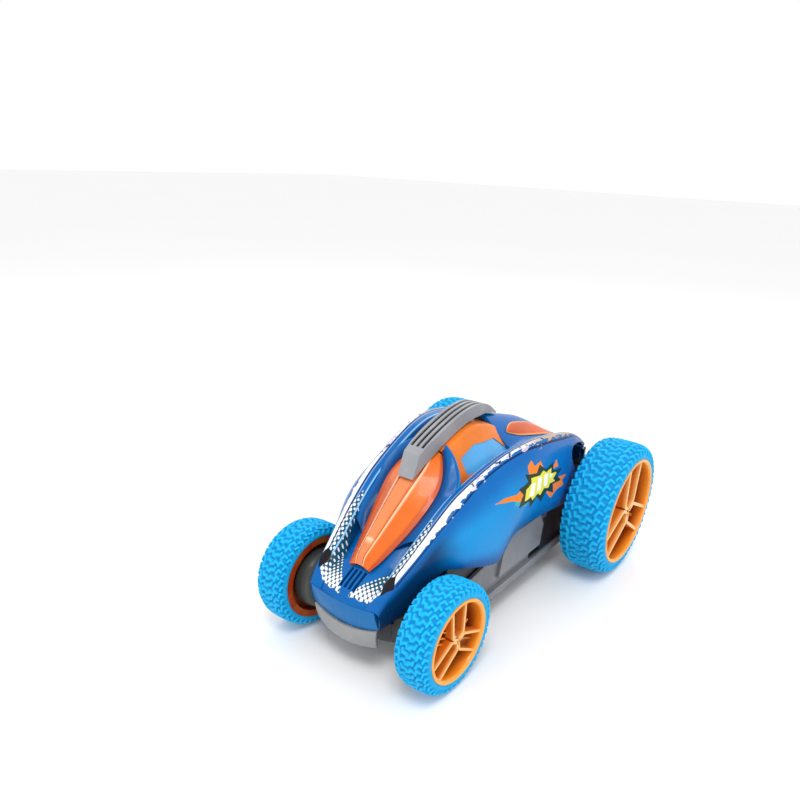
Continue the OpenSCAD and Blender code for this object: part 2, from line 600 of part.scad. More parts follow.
module gearbox_case() color("#222428") difference() {
    union() {
        along_y(0, box_in, 31.9, 0) gearbox_outline(box_wall);
        screw_bosses(box_in, 31.9, 2.6);
        translate([comp_x - 8, box_in, floor_z]) cube([16, 9.9, 4]);
    }
    along_y(0, box_in + 1.6, 33, 0) gearbox_outline(0);
    rod_y(rear_x, 20, 26, rear_r, bush_r);
    rod_y(motor_x, 20, 26, motor_z, 2.6);
    rod_y(comp_x, 20, 26, comp_z, comp_pin_r);
    screw_bosses(24, 33, 0.9);
}
module gearbox_cover() color("#222428") difference() {
    union() {
        along_y(0, 32, box_out, 0) gearbox_outline(box_wall);
        screw_bosses(32, box_out, 2.6);
        rod_y(rear_x, box_out - eps, 38.8, rear_r, 5.6);
    }
    rod_y(rear_x, 30, 40, rear_r, bush_r);
    rod_y(comp_x, 30, 33, comp_z, comp_pin_r);
    screw_bosses(30, 36, 1.2);
}
module gear_pins() color("silver") both() rod_y(comp_x, box_in + 0.2, 33, comp_z, comp_pin_r);
module bush(y0, y1) {
    difference() {
        rod_y(rear_x, y0, y1, rear_r, bush_r);
        rod_y(rear_x, 0, 60, rear_r, axle_r + run_gap);
    }
}
module axle_bushes() color("#b8863b") both() {
    bush(box_in + 0.1, box_in + 1.7);
    bush(32, 38.8);
}
module motor_clamp() color("#3c3f44") difference() {
    union() {
        translate([motor_x - 10.5, -14, floor_z]) cube([21, 28, motor_z + 8.2 - floor_z]);
        translate([motor_x - 13.5, -5, floor_z]) cube([27, 10, 3]);
    }
    both() rod_y(motor_x, 0.9, 30, motor_z, motor_r + 0.1);
    rod_y(motor_x, -2, 2, motor_z, 4);
    translate([motor_x - 8, -20, floor_z - 1]) cube([16, 40, 7]);
}

// ---- electrics ----

module circuit_board() {
    color("#1d6b3a") difference() {
        translate([-8, -27, board_z]) cube([56, 54, 1.2]);
        both() for (x = [-3, 43]) translate([x, 24, board_z - 1]) cylinder(h = 4, r = 1.1);
    }
    top = board_z + 1.2;
    color("#1b1b1b") {
        translate([10, -6, top]) cube([10, 6, 1.6]);
        translate([28, 6, top]) cube([6, 5, 1.5]);
        translate([0, 8, top]) cube([5, 4, 1.4]);
        translate([0, -12, top]) cube([5, 4, 1.4]);
    }
    color("silver") translate([26, -10, top]) cube([11, 4.2, 3.4]);
    color("#2a3c7a") for (p = [[38, 14], [-2, 0], [38, 0]]) translate([p[0], p[1], top])
        cylinder(h = 7, r = 2.5);
    color("#b8863b") translate([40, -16, top]) cylinder(h = 5, r = 3);
}
module battery_cells() color("#2f6fb5") for (i = [0:cell_count - 1])
    translate([cell_x + (i - 1) * 2 * (cell_r + 0.25), 0, floor_z + cell_r + 0.3]) {
        rod_y(0, -cell_len / 2, cell_len / 2 - 1, 0, cell_r);
        rod_y(0, cell_len / 2 - 1, cell_len / 2, 0, 2.6);
    }
module battery_contacts() color("silver") for (s = [-1, 1]) {
    translate([cell_x - 24, s * 25.2 - 0.25, floor_z + 2]) cube([48, 0.5, 11]);
    for (i = [-1:1]) rod_y(cell_x + i * 2 * (cell_r + 0.25), s > 0 ? 24.55 : -24.95,
        s > 0 ? 24.95 : -24.55, floor_z + cell_r + 0.3, 2);
}
module battery_door() color("#3c3f44") difference() {
    union() {
        translate([cell_x - door_l / 2, -door_w / 2, tray_z]) cube([door_l, door_w, 1.7]);
        translate([cell_x + door_l / 2 - 2, -5, tray_z]) cube([9, 10, 1.7]);
    }
    for (i = [-3:3]) translate([cell_x - 4 + i * 5, -15, tray_z - 1]) cube([2, 30, 1.6]);
    translate([door_screw_x, 0, tray_z - 1]) cylinder(h = 6, r = 1.3);
    translate([door_screw_x, 0, tray_z - 1]) cylinder(h = 2, r = 2.3);
}
module battery_door_screw() color("silver") translate([door_screw_x, 0, tray_z + 0.1]) {
    cylinder(h = 0.9, r = 2.1);
    cylinder(h = 6, r = 0.95);
}
module switch_body() color("#1f2023") difference() {
    translate([switch_x - 5.4, -4.4, floor_z]) cube([10.8 + switch_travel, 8.8, 6]);
    translate([switch_x - 4.2, -3.2, floor_z - 1]) cube([8.4 + switch_travel, 6.4, 3.6]);
}
module switch_slider() color("#e6e6e2") {
    translate([switch_x - 3.8, -3, floor_z + 0.2]) cube([7.6, 6, 1.8]);
    translate([switch_x - 2.2, -1.7, tray_z + 0.2]) cube([4.4, 3.4, 2.1]);
}

// ---- fasteners and wires ----

module body_screws() color("silver") both() for (p = [post_front, post_rear])
    translate([p[0], p[1], tray_z + 0.1]) {
        cylinder(h = 0.9, r = 2.2);
        cylinder(h = 11, r = 1.05);
    }
module case_screws() color("silver") both() {
    screw_bosses(26, box_out + 0.1, 0.9);
    screw_bosses(box_out, box_out + 1.2, 2);
}
function ring_point(p, d, a, r) =
    let(u = unit(cross(d, abs(d[2]) > 0.9 ? [1, 0, 0] : [0, 0, 1])), v = cross(unit(d), u))
    p + r * (cos(a) * u + sin(a) * v);
// Round wire swept along a list of points
module wire(path, r) {
    sides = 8;
    n = len(path);
    points = [for (i = [0:n - 1], k = [0:sides - 1])
        ring_point(path[i], path[min(i + 1, n - 1)] - path[max(i - 1, 0)], k * 360 / sides, r)];
    faces = concat(
        [[for (k = [0:sides - 1]) k]],
        [for (i = [0:n - 2], k = [0:sides - 1]) let(a = i * sides + k, b = i * sides + (k + 1) % sides)
            [a, a + sides, b + sides, b]],
        [[for (k = [sides - 1:-1:0]) (n - 1) * sides + k]]);
    polyhedron(points, faces, convexity = 4);
}
function bend(a, b, c, n = 8) = [for (t = steps(n))
    (1 - t) * (1 - t) * a + 2 * t * (1 - t) * b + t * t * c];
module wiring() {
    color("red") both() wire(bend([motor_x - 3, 4, motor_z + 10.5], [-20, 5, 52], [-6.5, 10, 40]), 0.6);
    color("black") both() wire(bend([motor_x + 2, 6, motor_z + 9.5], [-14, 8, 47], [-5, 14, 39]), 0.6);
    color("black") wire(bend([46, -20, 38.6], [58, -16, 58], [40, 0, 60]), 0.5);
}

body_shell();
hood_insert();
hood_grille();
roof_spine();
canopy();
canopy_windows();
cockpit_tub();
deck_insert();  // deck_insert_l
right() deck_insert();  // deck_insert_r
front_bumper();
chassis_tray();
side_sill();  // side_sill_l
right() side_sill();  // side_sill_r
hub_carrier();  // hub_carrier_l
right() hub_carrier();  // hub_carrier_r
front_axle_pins();
front_wheel_screws();
front_rim();  // front_rim_l
right() front_rim();  // front_rim_r
front_tyre();  // front_tyre_l
right() front_tyre();  // front_tyre_r
front_hub_cap();  // front_hub_cap_l
right() front_hub_cap();  // front_hub_cap_r
rear_rim();  // rear_rim_l
right() rear_rim();  // rear_rim_r
rear_tyre();  // rear_tyre_l
right() rear_tyre();  // rear_tyre_r
rear_axle();  // rear_axle_l
right() rear_axle();  // rear_axle_r
final_gear();  // final_gear_l
right() final_gear();  // final_gear_r
rear_wheel_screw();  // rear_wheel_screw_l
right() rear_wheel_screw();  // rear_wheel_screw_r
rear_hub_cap();  // rear_hub_cap_l
right() rear_hub_cap();  // rear_hub_cap_r
gearbox_case();  // gearbox_case_l
right() gearbox_case();  // gearbox_case_r
gearbox_cover();  // gearbox_cover_l
right() gearbox_cover();  // gearbox_cover_r
motor();  // motor_l
right() motor();  // motor_r
motor_shaft();  // motor_shaft_l
right() motor_shaft();  // motor_shaft_r
motor_pinion();  // motor_pinion_l
right() motor_pinion();  // motor_pinion_r
compound_gear();  // compound_gear_l
right() compound_gear();  // compound_gear_r
gear_pins();
axle_bushes();
motor_clamp();
circuit_board();
battery_cells();
battery_contacts();
battery_door();
battery_door_screw();
switch_body();
switch_slider();
body_screws();
case_screws();
wiring();
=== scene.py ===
import json
import math

import bpy
import numpy as np
from mathutils import Matrix, Vector


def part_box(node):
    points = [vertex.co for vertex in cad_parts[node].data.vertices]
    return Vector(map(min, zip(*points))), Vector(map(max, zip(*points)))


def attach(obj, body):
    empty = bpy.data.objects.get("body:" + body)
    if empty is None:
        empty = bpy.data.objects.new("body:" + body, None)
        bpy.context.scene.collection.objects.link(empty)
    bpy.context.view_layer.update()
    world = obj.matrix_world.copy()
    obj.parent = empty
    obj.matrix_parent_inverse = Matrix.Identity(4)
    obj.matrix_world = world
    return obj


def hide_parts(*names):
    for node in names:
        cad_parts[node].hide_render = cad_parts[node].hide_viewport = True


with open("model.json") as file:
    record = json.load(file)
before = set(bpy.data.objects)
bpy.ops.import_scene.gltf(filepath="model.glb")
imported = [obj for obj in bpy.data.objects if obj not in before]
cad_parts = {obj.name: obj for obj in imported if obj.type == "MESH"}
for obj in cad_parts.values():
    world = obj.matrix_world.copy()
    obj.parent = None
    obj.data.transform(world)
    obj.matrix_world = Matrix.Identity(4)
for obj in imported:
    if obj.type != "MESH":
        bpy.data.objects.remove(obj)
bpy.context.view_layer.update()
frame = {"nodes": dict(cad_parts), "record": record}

MM = 0.001
SIDES = {"l": 1, "r": -1}


def box_mm(node):
    """Lowest and highest corner of a CAD node in millimetres."""
    low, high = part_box(node)
    return np.array(low) / MM, np.array(high) / MM


# ---- body lines: lists of (distance forward, value) stations ----

RIDGE_Y = [(-78, 29), (-70, 30), (-52, 31.2), (-35, 32.2), (-15, 33), (0, 32.2), (19, 29.4),
           (44, 26), (66, 23.3), (84, 20.3), (95, 18)]
RIDGE_Z = [(-78, 63), (-70, 69), (-52, 78.5), (-35, 83.2), (-15, 87), (0, 87.8), (19, 84.8),
           (44, 76), (57, 68.4), (75, 55), (87, 46), (91, 43), (95, 37.5)]
SKIRT_Y = [(-65, 36), (-50, 37.5), (-33, 38.5), (-12, 39.8), (5, 40.3), (30, 40), (40, 39),
           (50, 37), (57, 33.6), (62, 30.3), (68, 27.5), (76, 25), (85, 22), (95, 18.6)]
SKIRT_END = -65
SKIRT_Z = [(-65, 37), (-50, 41), (-33, 44.8), (-12, 49), (5, 51), (20, 50), (28, 43.5),
           (33, 41.2), (50, 45.5), (57, 47), (62, 47), (68, 41), (76, 34.5), (85, 30.5), (95, 27.5)]
GROOVE_D = [(-78, 0.6), (-60, 3.5), (-30, 5), (0, 8), (30, 9), (60, 9), (75, 7.5), (84, 3.5),
            (95, 0.3)]
HOOD_Z = [(42, 76), (50, 70.5), (60, 63), (70, 55), (78, 49), (84, 45.5), (92, 40.8), (95.4, 36)]
DECK_Z = [(-78, 63.5), (-70, 69.5), (-60, 75.5), (-44, 83.2), (-30, 87.8), (-20, 90.6),
          (-8, 93.8)]
FLANK_END = [(0, -76), (0.12, -66), (0.3, -47), (0.45, -43), (0.6, -46), (0.8, -55), (1, -63)]
INSERT_HALF = [(33, 6.8), (37, 10.5), (43, 14), (50, 14.4), (62, 12), (77, 8), (83, 5.8)]
INSERT_EDGE = [(33, 86.3), (37, 83.4), (43, 77.6), (50, 71), (62, 61), (77, 51), (83, 47.6)]
INSERT_CROWN = [(33, 87.6), (41, 83.7), (50.5, 78), (62, 69.4), (74.4, 59.4), (80, 54.8),
                (82, 52.4), (83, 49)]
# How far the insert has fallen from crown to edge, at each share of its half width
INSERT_FALL = [(0, 0), (0.24, 0), (0.255, 0.045), (0.28, 0.07), (0.305, 0.045), (0.33, 0.03),
               (0.55, 0.36), (0.8, 0.74), (0.88, 0.87), (1, 1)]
SPINE_TOP = [(-20.5, 91.9), (-10, 98.4), (1.5, 101.7), (14, 101), (28, 97.4), (40, 93),
             (46.6, 89.6)]
SPINE_UNDER = [(-20.5, 91.1), (-7.7, 94.8), (5.7, 95.6), (18, 93.3), (29.8, 89.4), (41, 84.6),
               (51.4, 79.2)]
CANOPY_TOP = [(-14, 87), (-4, 91.4), (8, 93.9), (18, 92.6), (27, 89.6), (32, 87.4)]
CANOPY_HALF = [(0, 1.01), (4, 1), (8, 0.97), (9.8, 0.86), (15, 0.5), (20.6, 0.12), (21.4, 0)]
CANOPY_BASE = 72.8
CANOPY_FOOT = 21.4
LOZENGE_MID = [(-67, 13), (-62, 13), (-52, 12.8), (-40, 12.6), (-24, 12), (-15, 12)]
LOZENGE_HALF = [(-67, 0.6), (-62, 2.8), (-52, 4.6), (-40, 5), (-24, 3.6), (-15, 0.5)]
PILLAR = [(64, 18.6, 58), (58, 19.6, 63.5), (50, 20.2, 68.6), (42, 20.4, 74), (38, 18.6, 79),
          (35.5, 14.8, 84.4), (33.8, 11, 87.6), (32.4, 7.4, 89.4)]
PILLAR_R = 1.9
PILLAR_THICK = 1.1
WINDOW = [(26.4, 76.2), (25.6, 83.4), (15, 87), (-1.5, 85.8), (-9, 79), (-9, 76.2)]
WINDOW_REACH = 14
SKIN = 1.6
GROOVE_EDGE = 1.8
SPINE_W = 10.4
SPINE_SLOT_PITCH = 3.0
SPINE_SLOT_HALF = 0.75
# Where the spine starts to narrow, by how many degrees, and where its cutting block starts
SPINE_TAPERS = ((0, 9, -40), (34, -3.4, 0))
# Slots in the hood, which slope by some degrees
HOOD_SLOT_PITCH = 2.5
HOOD_SLOT_HALF = 0.7
HOOD_SLOT_AT = (88, 0, 44.2)
HOOD_SLOT_SLOPE = 33
# Marks are signed millimetres or shares; they are stored from 0 to 1 round a middle of 0.5
MARK_SPAN = 40.0
NO_PRINT = -9.0
DOT_PITCH = 1.75
WELD_GAP = 0.01
# Tread blocks round a tyre, and how far the rim's inner flange stands above its seat
TREAD_BLOCKS = {"front": 22, "rear": 26}
RIM_FLANGE = 2.2


def curve(stations, x):
    """Smooth curve through stations, for one x or an array of them."""
    s = np.array(stations, float)
    px, py = s[:, 0], s[:, 1]
    lo = np.maximum(np.arange(len(s)) - 1, 0)
    hi = np.minimum(np.arange(len(s)) + 1, len(s) - 1)
    slope = (py[hi] - py[lo]) / (px[hi] - px[lo])
    x = np.asarray(x, float)
    i = np.clip(np.searchsorted(px, x) - 1, 0, len(s) - 2)
    h = px[i + 1] - px[i]
    t = (x - px[i]) / h
    t2, t3 = t * t, t * t * t
    return ((2 * t3 - 3 * t2 + 1) * py[i] + (t3 - 2 * t2 + t) * h * slope[i]
            + (3 * t2 - 2 * t3) * py[i + 1] + (t3 - t2) * h * slope[i + 1])


def mix(a, b, t):
    """a at share 0, b at share 1."""
    return a + (b - a) * t


def ramp(x, a, b):
    """0 at a, 1 at b, smooth between."""
    t = np.clip((np.asarray(x, float) - a) / (b - a), 0, 1)
    return t * t * (3 - 2 * t)


def stack(x, y, z):
    """Points from coordinates of any shapes that fit together."""
    return np.stack(np.broadcast_arrays(x, y, z), -1)


def band_w(x):
    """Width of the ridge's inward top band, which narrows at the nose."""
    return mix(2.5, 5.5, np.clip((95 - x) / 20, 0, 1))


def flank_point(x, t):
    """Side of the body: t -2 is the foot of the inner wall, 0 the crest, 1 the skirt."""
    ry, rz, w, d = curve(RIDGE_Y, x), curve(RIDGE_Z, x), band_w(x), curve(GROOVE_D, x)
    xs = np.maximum(SKIRT_END, x)
    sy, sz = curve(SKIRT_Y, xs), curve(SKIRT_Z, xs)
    h = rz - sz
    k = np.clip(-1 - t, 0, 1)
    wall_y, wall_z = ry - w - 2.5 * k, mix(rz - 0.25 * w, rz - d - 1, k)
    top_y, top_z = ry + w * t, rz - 0.25 * w * t * t
    c = np.clip(t, 0, 1)
    u = 1 - c
    by, bz = ry + 0.35 * (sy - ry) + 2.2, rz - 0.12 * h
    side_y = u**3 * ry + 3 * u * u * c * by + 3 * u * c * c * (sy + 2.4) + c**3 * sy
    side_z = u**3 * rz + 3 * u * u * c * bz + 3 * u * c * c * (sz + 0.5 * h) + c**3 * sz
    y = np.where(t <= -1, wall_y, np.where(t <= 0, top_y, side_y))
    z = np.where(t <= -1, wall_z, np.where(t <= 0, top_z, side_z))
    return stack(x, y, z)


def groove_floor(x):
    return curve(RIDGE_Z, x) - curve(GROOVE_D, x) - 0.4


def hood_point(x, v):
    """Hood between the ridges, v -1 to 1 across."""
    y = (curve(RIDGE_Y, x) - band_w(x) - GROOVE_EDGE) * v
    bow = 0.0068 * y * y * np.maximum(0, (x - 80) / 15)
    return stack(x - bow, y, mix(curve(HOOD_Z, x), groove_floor(x), v * v))


def nose_point(z, v):
    """Nose face, z 0 at its top edge and 1 at the bumper."""
    y = mix(18.2, 18.9, z) * v
    return stack(95.6 - mix(0.003, 0.0046, z) * y * y - 1.2 * z * z, y,
                 mix(36 + 1.6 * v * v, 24.9 + 3 * v * v, z))


def deck_half(x):
    return curve(RIDGE_Y, x) - mix(-0.5, band_w(x) + GROOVE_EDGE, np.clip((x + 78) / 16, 0, 1))


def deck_point(x, v):
    """Rear deck and roof, v -1 to 1 across."""
    y, c = deck_half(x) * v, curve(DECK_Z, x)
    k = np.minimum(1, np.abs(v) * 1.25)
    return stack(x, y, mix(c, np.minimum(groove_floor(x), c - 1), k * k * (3 - 2 * k)))


def tail_point(t, v):
    """Tail face, which rolls down behind the deck from share 0 to 1."""
    a = np.radians(82) * t
    return stack(-78 - 6.5 * np.sin(a), mix(29.5, 26.5, t) * v,
                 62.7 - 26 * (1 - np.cos(a)) - 0.6 * v * v)


# ---- mesh building ----

def new_object(name, verts, faces, marks=None):
    """Mesh object from millimetre points; marks are per-point numbers that the materials read."""
    mesh = bpy.data.meshes.new(name)
    mesh.from_pydata((np.asarray(verts, float) * MM).tolist(), [], faces)
    mesh.update()
    for key, values in (marks or {}).items():
        layer = mesh.attributes.new(key, "FLOAT", "POINT")
        stored = np.clip(np.asarray(values, np.float32).ravel() / MARK_SPAN + 0.5, 0, 1)
        layer.data.foreach_set("value", stored)
    mesh.polygons.foreach_set("use_smooth", [True] * len(mesh.polygons))
    obj = bpy.data.objects.new(name, mesh)
    bpy.context.scene.collection.objects.link(obj)
    return obj


def grid_faces(rows, cols, flip, start):
    """Faces between the points of a grid whose first point has the number start."""
    faces = []
    for r in range(rows - 1):
        for a in range(start + r * cols, start + (r + 1) * cols - 1):
            quad = (a, a + 1, a + 1 + cols, a + cols)
            faces.append(quad[::-1] if flip else quad)
    return faces


def strip(x0, middle0, half0, x1, middle1, half1):
    """Outline of a strip from x0 to x1, by its middle and half width at both ends."""
    return [(x0, middle0 - half0), (x1, middle1 - half1), (x1, middle1 + half1), (x0, middle0 + half0)]


class Pool:
    """Collects several surfaces into the points, faces and marks of one mesh."""

    def __init__(self):
        self.points, self.faces, self.marks = [], [], {}
        self.count = 0

    def note(self, marks, shape):
        for key, values in (marks or {}).items():
            self.marks.setdefault(key, []).append(np.broadcast_to(values, shape).reshape(-1))

    def add(self, grid, marks=None, flip=False):
        rows, cols = grid.shape[:2]
        self.faces += grid_faces(rows, cols, flip, self.count)
        self.points.append(grid.reshape(-1, 3))
        self.note(marks, (rows, cols))
        self.count += rows * cols

    def prism(self, outline, y0, y1, marks=None):
        """Solid between two heights along y over an outline of (x, z) points."""
        n = len(outline)
        y0, y1 = sorted((y0, y1))
        x, z = np.array(outline, float).T
        if np.sum(x * np.roll(z, -1) - np.roll(x, -1) * z) < 0:
            x, z = x[::-1], z[::-1]
        low, high = stack(x, y0, z), stack(x, y1, z)
        base = self.count
        self.points += [low, high]
        self.faces.append(tuple(range(base, base + n)))
        self.faces.append(tuple(range(base + 2 * n - 1, base + n - 1, -1)))
        self.faces += [(base + (i + 1) % n, base + i, base + n + i, base + n + (i + 1) % n)
                       for i in range(n)]
        self.note(marks, (2 * n,))
        self.count += 2 * n

    def build(self, name):
        marks = {key: np.concatenate(v) for key, v in self.marks.items()}
        return new_object(name, np.concatenate(self.points), self.faces, marks)


def mirrored(grid):
    return grid * np.array([1, -1, 1])


def sheet(name, grid, marks=None, flip=False, both=False):
    """Mesh object of one surface, with its mirror image on the car's other side if both is set."""
    pool = Pool()
    pool.add(grid, marks, flip)
    if both:
        pool.add(mirrored(grid), marks, True)
    return pool.build(name)


def adjust(thing, settings):
    for key, value in settings.items():
        setattr(thing, key, value)
    return thing


def modify(obj, kind, **settings):
    adjust(obj.modifiers.new(kind.title(), kind), settings)


def weld(obj):
    modify(obj, "WELD", merge_threshold=WELD_GAP * MM)


def thicken(obj, thickness):
    modify(obj, "SOLIDIFY", thickness=thickness * MM, offset=-1)


def soften(obj, width, angle, segments=2):
    modify(obj, "BEVEL", width=width * MM, segments=segments, limit_method="ANGLE",
           angle_limit=math.radians(angle), harden_normals=True, miter_outer="MITER_ARC")


def cut(obj, cutter, operation="DIFFERENCE"):
    """Boolean with a cutter that is removed afterwards; the result stays in the mesh."""
    modify(obj, "BOOLEAN", object=cutter, operation=operation, solver="EXACT")
    graph = bpy.context.evaluated_depsgraph_get()
    mesh = bpy.data.meshes.new_from_object(obj.evaluated_get(graph), depsgraph=graph)
    obj.modifiers.clear()
    obj.data = mesh
    bpy.data.objects.remove(cutter)


def turned(at, degrees, axis):
    """Matrix that turns a piece about an axis and moves it to a point in millimetres."""
    return Matrix.Translation(Vector(at) * MM) @ Matrix.Rotation(math.radians(degrees), 4, axis)


def place(obj, slot, *nodes, body="chassis", look=None):
    """Gives a piece its look and its body, and hides the CAD nodes that it stands for."""
    obj.data.materials.clear()
    obj.data.materials.append(look or FINISH[slot])
    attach(obj, body)
    if nodes:
        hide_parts(*nodes)


# ---- materials ----

class Paint:
    """A principled material with short helpers for its nodes."""

    def __init__(self, name, rough=0.4, coat=0.0, specular=0.25, metal=0.0):
        self.material = bpy.data.materials.new(name)
        self.material.use_nodes = True
        self.tree = self.material.node_tree
        self.shader = self.tree.nodes["Principled BSDF"]
        for socket, value in (("Roughness", rough), ("Coat Weight", coat), ("Coat Roughness", 0.06),
                              ("Specular IOR Level", specular), ("Metallic", metal)):
            self.shader.inputs[socket].default_value = value
        self.coords = self.tree.nodes.new("ShaderNodeTexCoord").outputs["Object"]

    def node(self, kind, **settings):
        return adjust(self.tree.nodes.new("ShaderNode" + kind), settings)

    def feed(self, socket, value):
        """Links a socket, or sets it to a number or a (red, green, blue) colour."""
        if isinstance(value, bpy.types.NodeSocket):
            self.tree.links.new(value, socket)
        elif isinstance(value, tuple):
            socket.default_value = (*value, 1.0)
        else:
            socket.default_value = value

    def math(self, operation, a, b=0.0):
        made = self.node("Math", operation=operation)
        self.feed(made.inputs[0], a)
        self.feed(made.inputs[1], b)
        return made.outputs[0]

    def mark(self, name):
        stored = self.node("Attribute", attribute_name=name).outputs["Fac"]
        return self.math("MULTIPLY", self.math("SUBTRACT", stored, 0.5), MARK_SPAN)

    def noise(self, scale, detail, vector=None):
        made = self.node("TexNoise")
        self.feed(made.inputs["Vector"], self.coords if vector is None else vector)
        made.inputs["Scale"].default_value = scale
        made.inputs["Detail"].default_value = detail
        return made.outputs["Fac"]

    def step(self, value, low, high, a=0.0, b=1.0):
        made = self.node("MapRange", interpolation_type="SMOOTHSTEP")
        self.feed(made.inputs["Value"], value)
        for key, number in (("From Min", low), ("From Max", high), ("To Min", a), ("To Max", b)):
            made.inputs[key].default_value = number
        return made.outputs["Result"]

    def blend(self, factor, a, b):
        made = self.node("Mix", data_type="RGBA")
        for index, value in ((0, factor), (6, a), (7, b)):
            self.feed(made.inputs[index], value)
        return made.outputs[2]

    def colour(self, value):
        self.feed(self.shader.inputs["Base Color"], value)

    def bump(self, height, distance, strength=1.0):
        made = self.node("Bump")
        made.inputs["Distance"].default_value = distance * MM
        made.inputs["Strength"].default_value = strength
        self.feed(made.inputs["Height"], height)
        self.feed(self.shader.inputs["Normal"], made.outputs[0])

    def rough(self, value, low, high):
        self.feed(self.shader.inputs["Roughness"], self.step(value, 0.3, 0.7, low, high))

    def surface(self, base, gloss, low, high, grain, depth, strength):
        """Base colour, uneven gloss and fine grain, each with its scale; gives the material."""
        self.colour(base)
        self.rough(self.noise(gloss, 5), low, high)
        self.bump(self.noise(grain, 2), depth, strength)
        return self.material

    def drift(self, scale, a, b):
        """Slow, cloudy change between two colours."""
        return self.blend(self.step(self.noise(scale, 4), 0.35, 0.65), a, b)

    def stretched(self, scale, turn=(0, 0, 0), vector=None):
        made = self.node("Mapping")
        made.inputs["Scale"].default_value = scale
        made.inputs["Rotation"].default_value = turn
        self.feed(made.inputs["Vector"], self.coords if vector is None else vector)
        return made.outputs[0]


def shade(colour, k):
    return tuple(min(1.0, c * k) for c in colour)


def plastic(name, colour, rough=0.4, coat=0.0, grain=900, depth=0.03, vary=0.14, wear=0.0):
    """Moulded plastic: faint colour drift, fine surface texture, uneven gloss, lighter rubbed patches.
    """
    p = Paint(name, rough, coat)
    base = p.drift(45, shade(colour, 1 - vary), shade(colour, 1 + vary))
    if wear:
        scuff = p.step(p.noise(260, 6), 0.6, 0.72, 0, wear)
        base = p.blend(scuff, base, shade(colour, 1.7))
    return p.surface(base, 120, rough - 0.06, rough + 0.08, grain, depth, 0.5)


def metal(name, colour, rough=0.3, scale=(30, 900, 30)):
    """Turned or plated metal with fine drawn lines."""
    p = Paint(name, rough, metal=1.0)
    lines = p.noise(6, 3, p.stretched(scale))
    p.colour(p.blend(lines, shade(colour, 0.82), shade(colour, 1.12)))
    p.rough(lines, rough - 0.08, rough + 0.12)
    p.bump(lines, 0.01, 0.4)
    return p.material


def shell_paint():
    """Gloss blue moulding with its printed livery and its painted light and shade, placed by the marks
    on the shell's points.
    """
    p = Paint("shell_livery", 0.24, 0.06, 0.16)
    blue = p.blend(p.step(p.noise(28, 3), 0.3, 0.7), (0.0, 0.11, 0.39), (0.001, 0.135, 0.44))
    # Painted light and shade: a lighter blue where light falls, then a dark navy where shade falls.
    blue = p.blend(p.mark("light"), blue, (0.008, 0.29, 0.66))
    blue = p.blend(p.mark("painted_shade"), blue, (0.0, 0.02, 0.09))
    ragged = p.math("MULTIPLY", p.math("SUBTRACT", p.noise(330, 4), 0.5), 2.4)
    shards = p.math("SUBTRACT", p.noise(1, 3, p.stretched((150, 620, 620), (0, 0.5, 0.5))), 0.5)
    # White crest stripe, torn where marked; cut edges can carry marks below zero, hence MAXIMUM
    torn = p.math("MULTIPLY", p.math("MAXIMUM", p.mark("torn"), 0.0), p.math("MULTIPLY", shards, 12.0))
    stripe = p.step(p.math("ADD", p.mark("stripe"), torn), -0.08, 0.08)
    # Halftone dots fade from white on teal to teal on white towards the nose
    dots_at = p.stretched((1 / (DOT_PITCH * MM),) * 3, (0, 0, math.radians(40)), flat_coords(p))
    cell = p.node("TexVoronoi", voronoi_dimensions="2D", feature="F1")
    cell.inputs["Scale"].default_value = 1.0
    cell.inputs["Randomness"].default_value = 0.0
    p.feed(cell.inputs["Vector"], dots_at)
    dot = p.math("SUBTRACT", p.mark("dot_size"), cell.outputs["Distance"])
    dots = p.step(dot, -0.03, 0.03)
    frayed = p.math("MULTIPLY", p.math("SUBTRACT", p.noise(260, 5), 0.5), 2.0)
    screen = p.step(p.math("ADD", p.mark("screen"), frayed), -0.1, 0.1)
    teal = p.blend(p.noise(200, 3), (0.006, 0.06, 0.12), (0.012, 0.10, 0.17))
    lilac = p.math("MULTIPLY", p.step(shards, 0.02, 0.1), p.mark("speck"))
    white = p.blend(lilac, (0.82, 0.85, 0.9), (0.52, 0.48, 0.70))
    tinted = p.blend(p.mark("tint"), white, (0.50, 0.32, 0.15))
    speck = p.step(p.noise(420, 2), 0.58, 0.61)
    speckled = p.blend(p.math("MULTIPLY", speck, p.mark("speck")), tinted, (0.02, 0.02, 0.05))
    base = p.blend(screen, blue, p.blend(dots, teal, white))
    base = p.blend(p.step(p.mark("navy_line"), -0.06, 0.06), base, (0.002, 0.012, 0.07))
    base = p.blend(stripe, base, speckled)
    # Painted highlights: a thin pale line on the crest's top band and a light blue line along its inner
    # edge.
    base = p.blend(p.step(p.mark("painted_inner_highlight"), -0.06, 0.06), base, (0.62, 0.72, 0.85))
    base = p.blend(p.step(p.mark("painted_edge_highlight"), -0.12, 0.12), base, (0.22, 0.5, 0.82))
    base = p.blend(p.step(p.mark("patch"), -0.08, 0.08), base, (0.006, 0.006, 0.01))
    for key, colour in (("glow", (0.02, 0.36, 0.46)), ("blaze", (0.80, 0.20, 0.01)),
                        ("burst", (0.012, 0.03, 0.012)), ("spark", (0.70, 0.68, 0.05)),
                        ("core", (0.8, 0.82, 0.78))):
        edge = p.math("ADD", p.mark(key), p.math("MULTIPLY", ragged, 0.4))
        base = p.blend(p.step(edge, -0.07, 0.07), base, colour)
    return p.surface(base, 90, 0.2, 0.32, 700, 0.01, 0.25)


def flat_coords(p):
    """Object coordinates with the sides folded together, so both sides carry the same print."""
    parts = p.node("SeparateXYZ")
    p.feed(parts.inputs[0], p.coords)
    joined = p.node("CombineXYZ")
    p.feed(joined.inputs[0], parts.outputs["X"])
    p.feed(joined.inputs[1], p.math("ABSOLUTE", parts.outputs["Y"]))
    return joined.outputs[0]


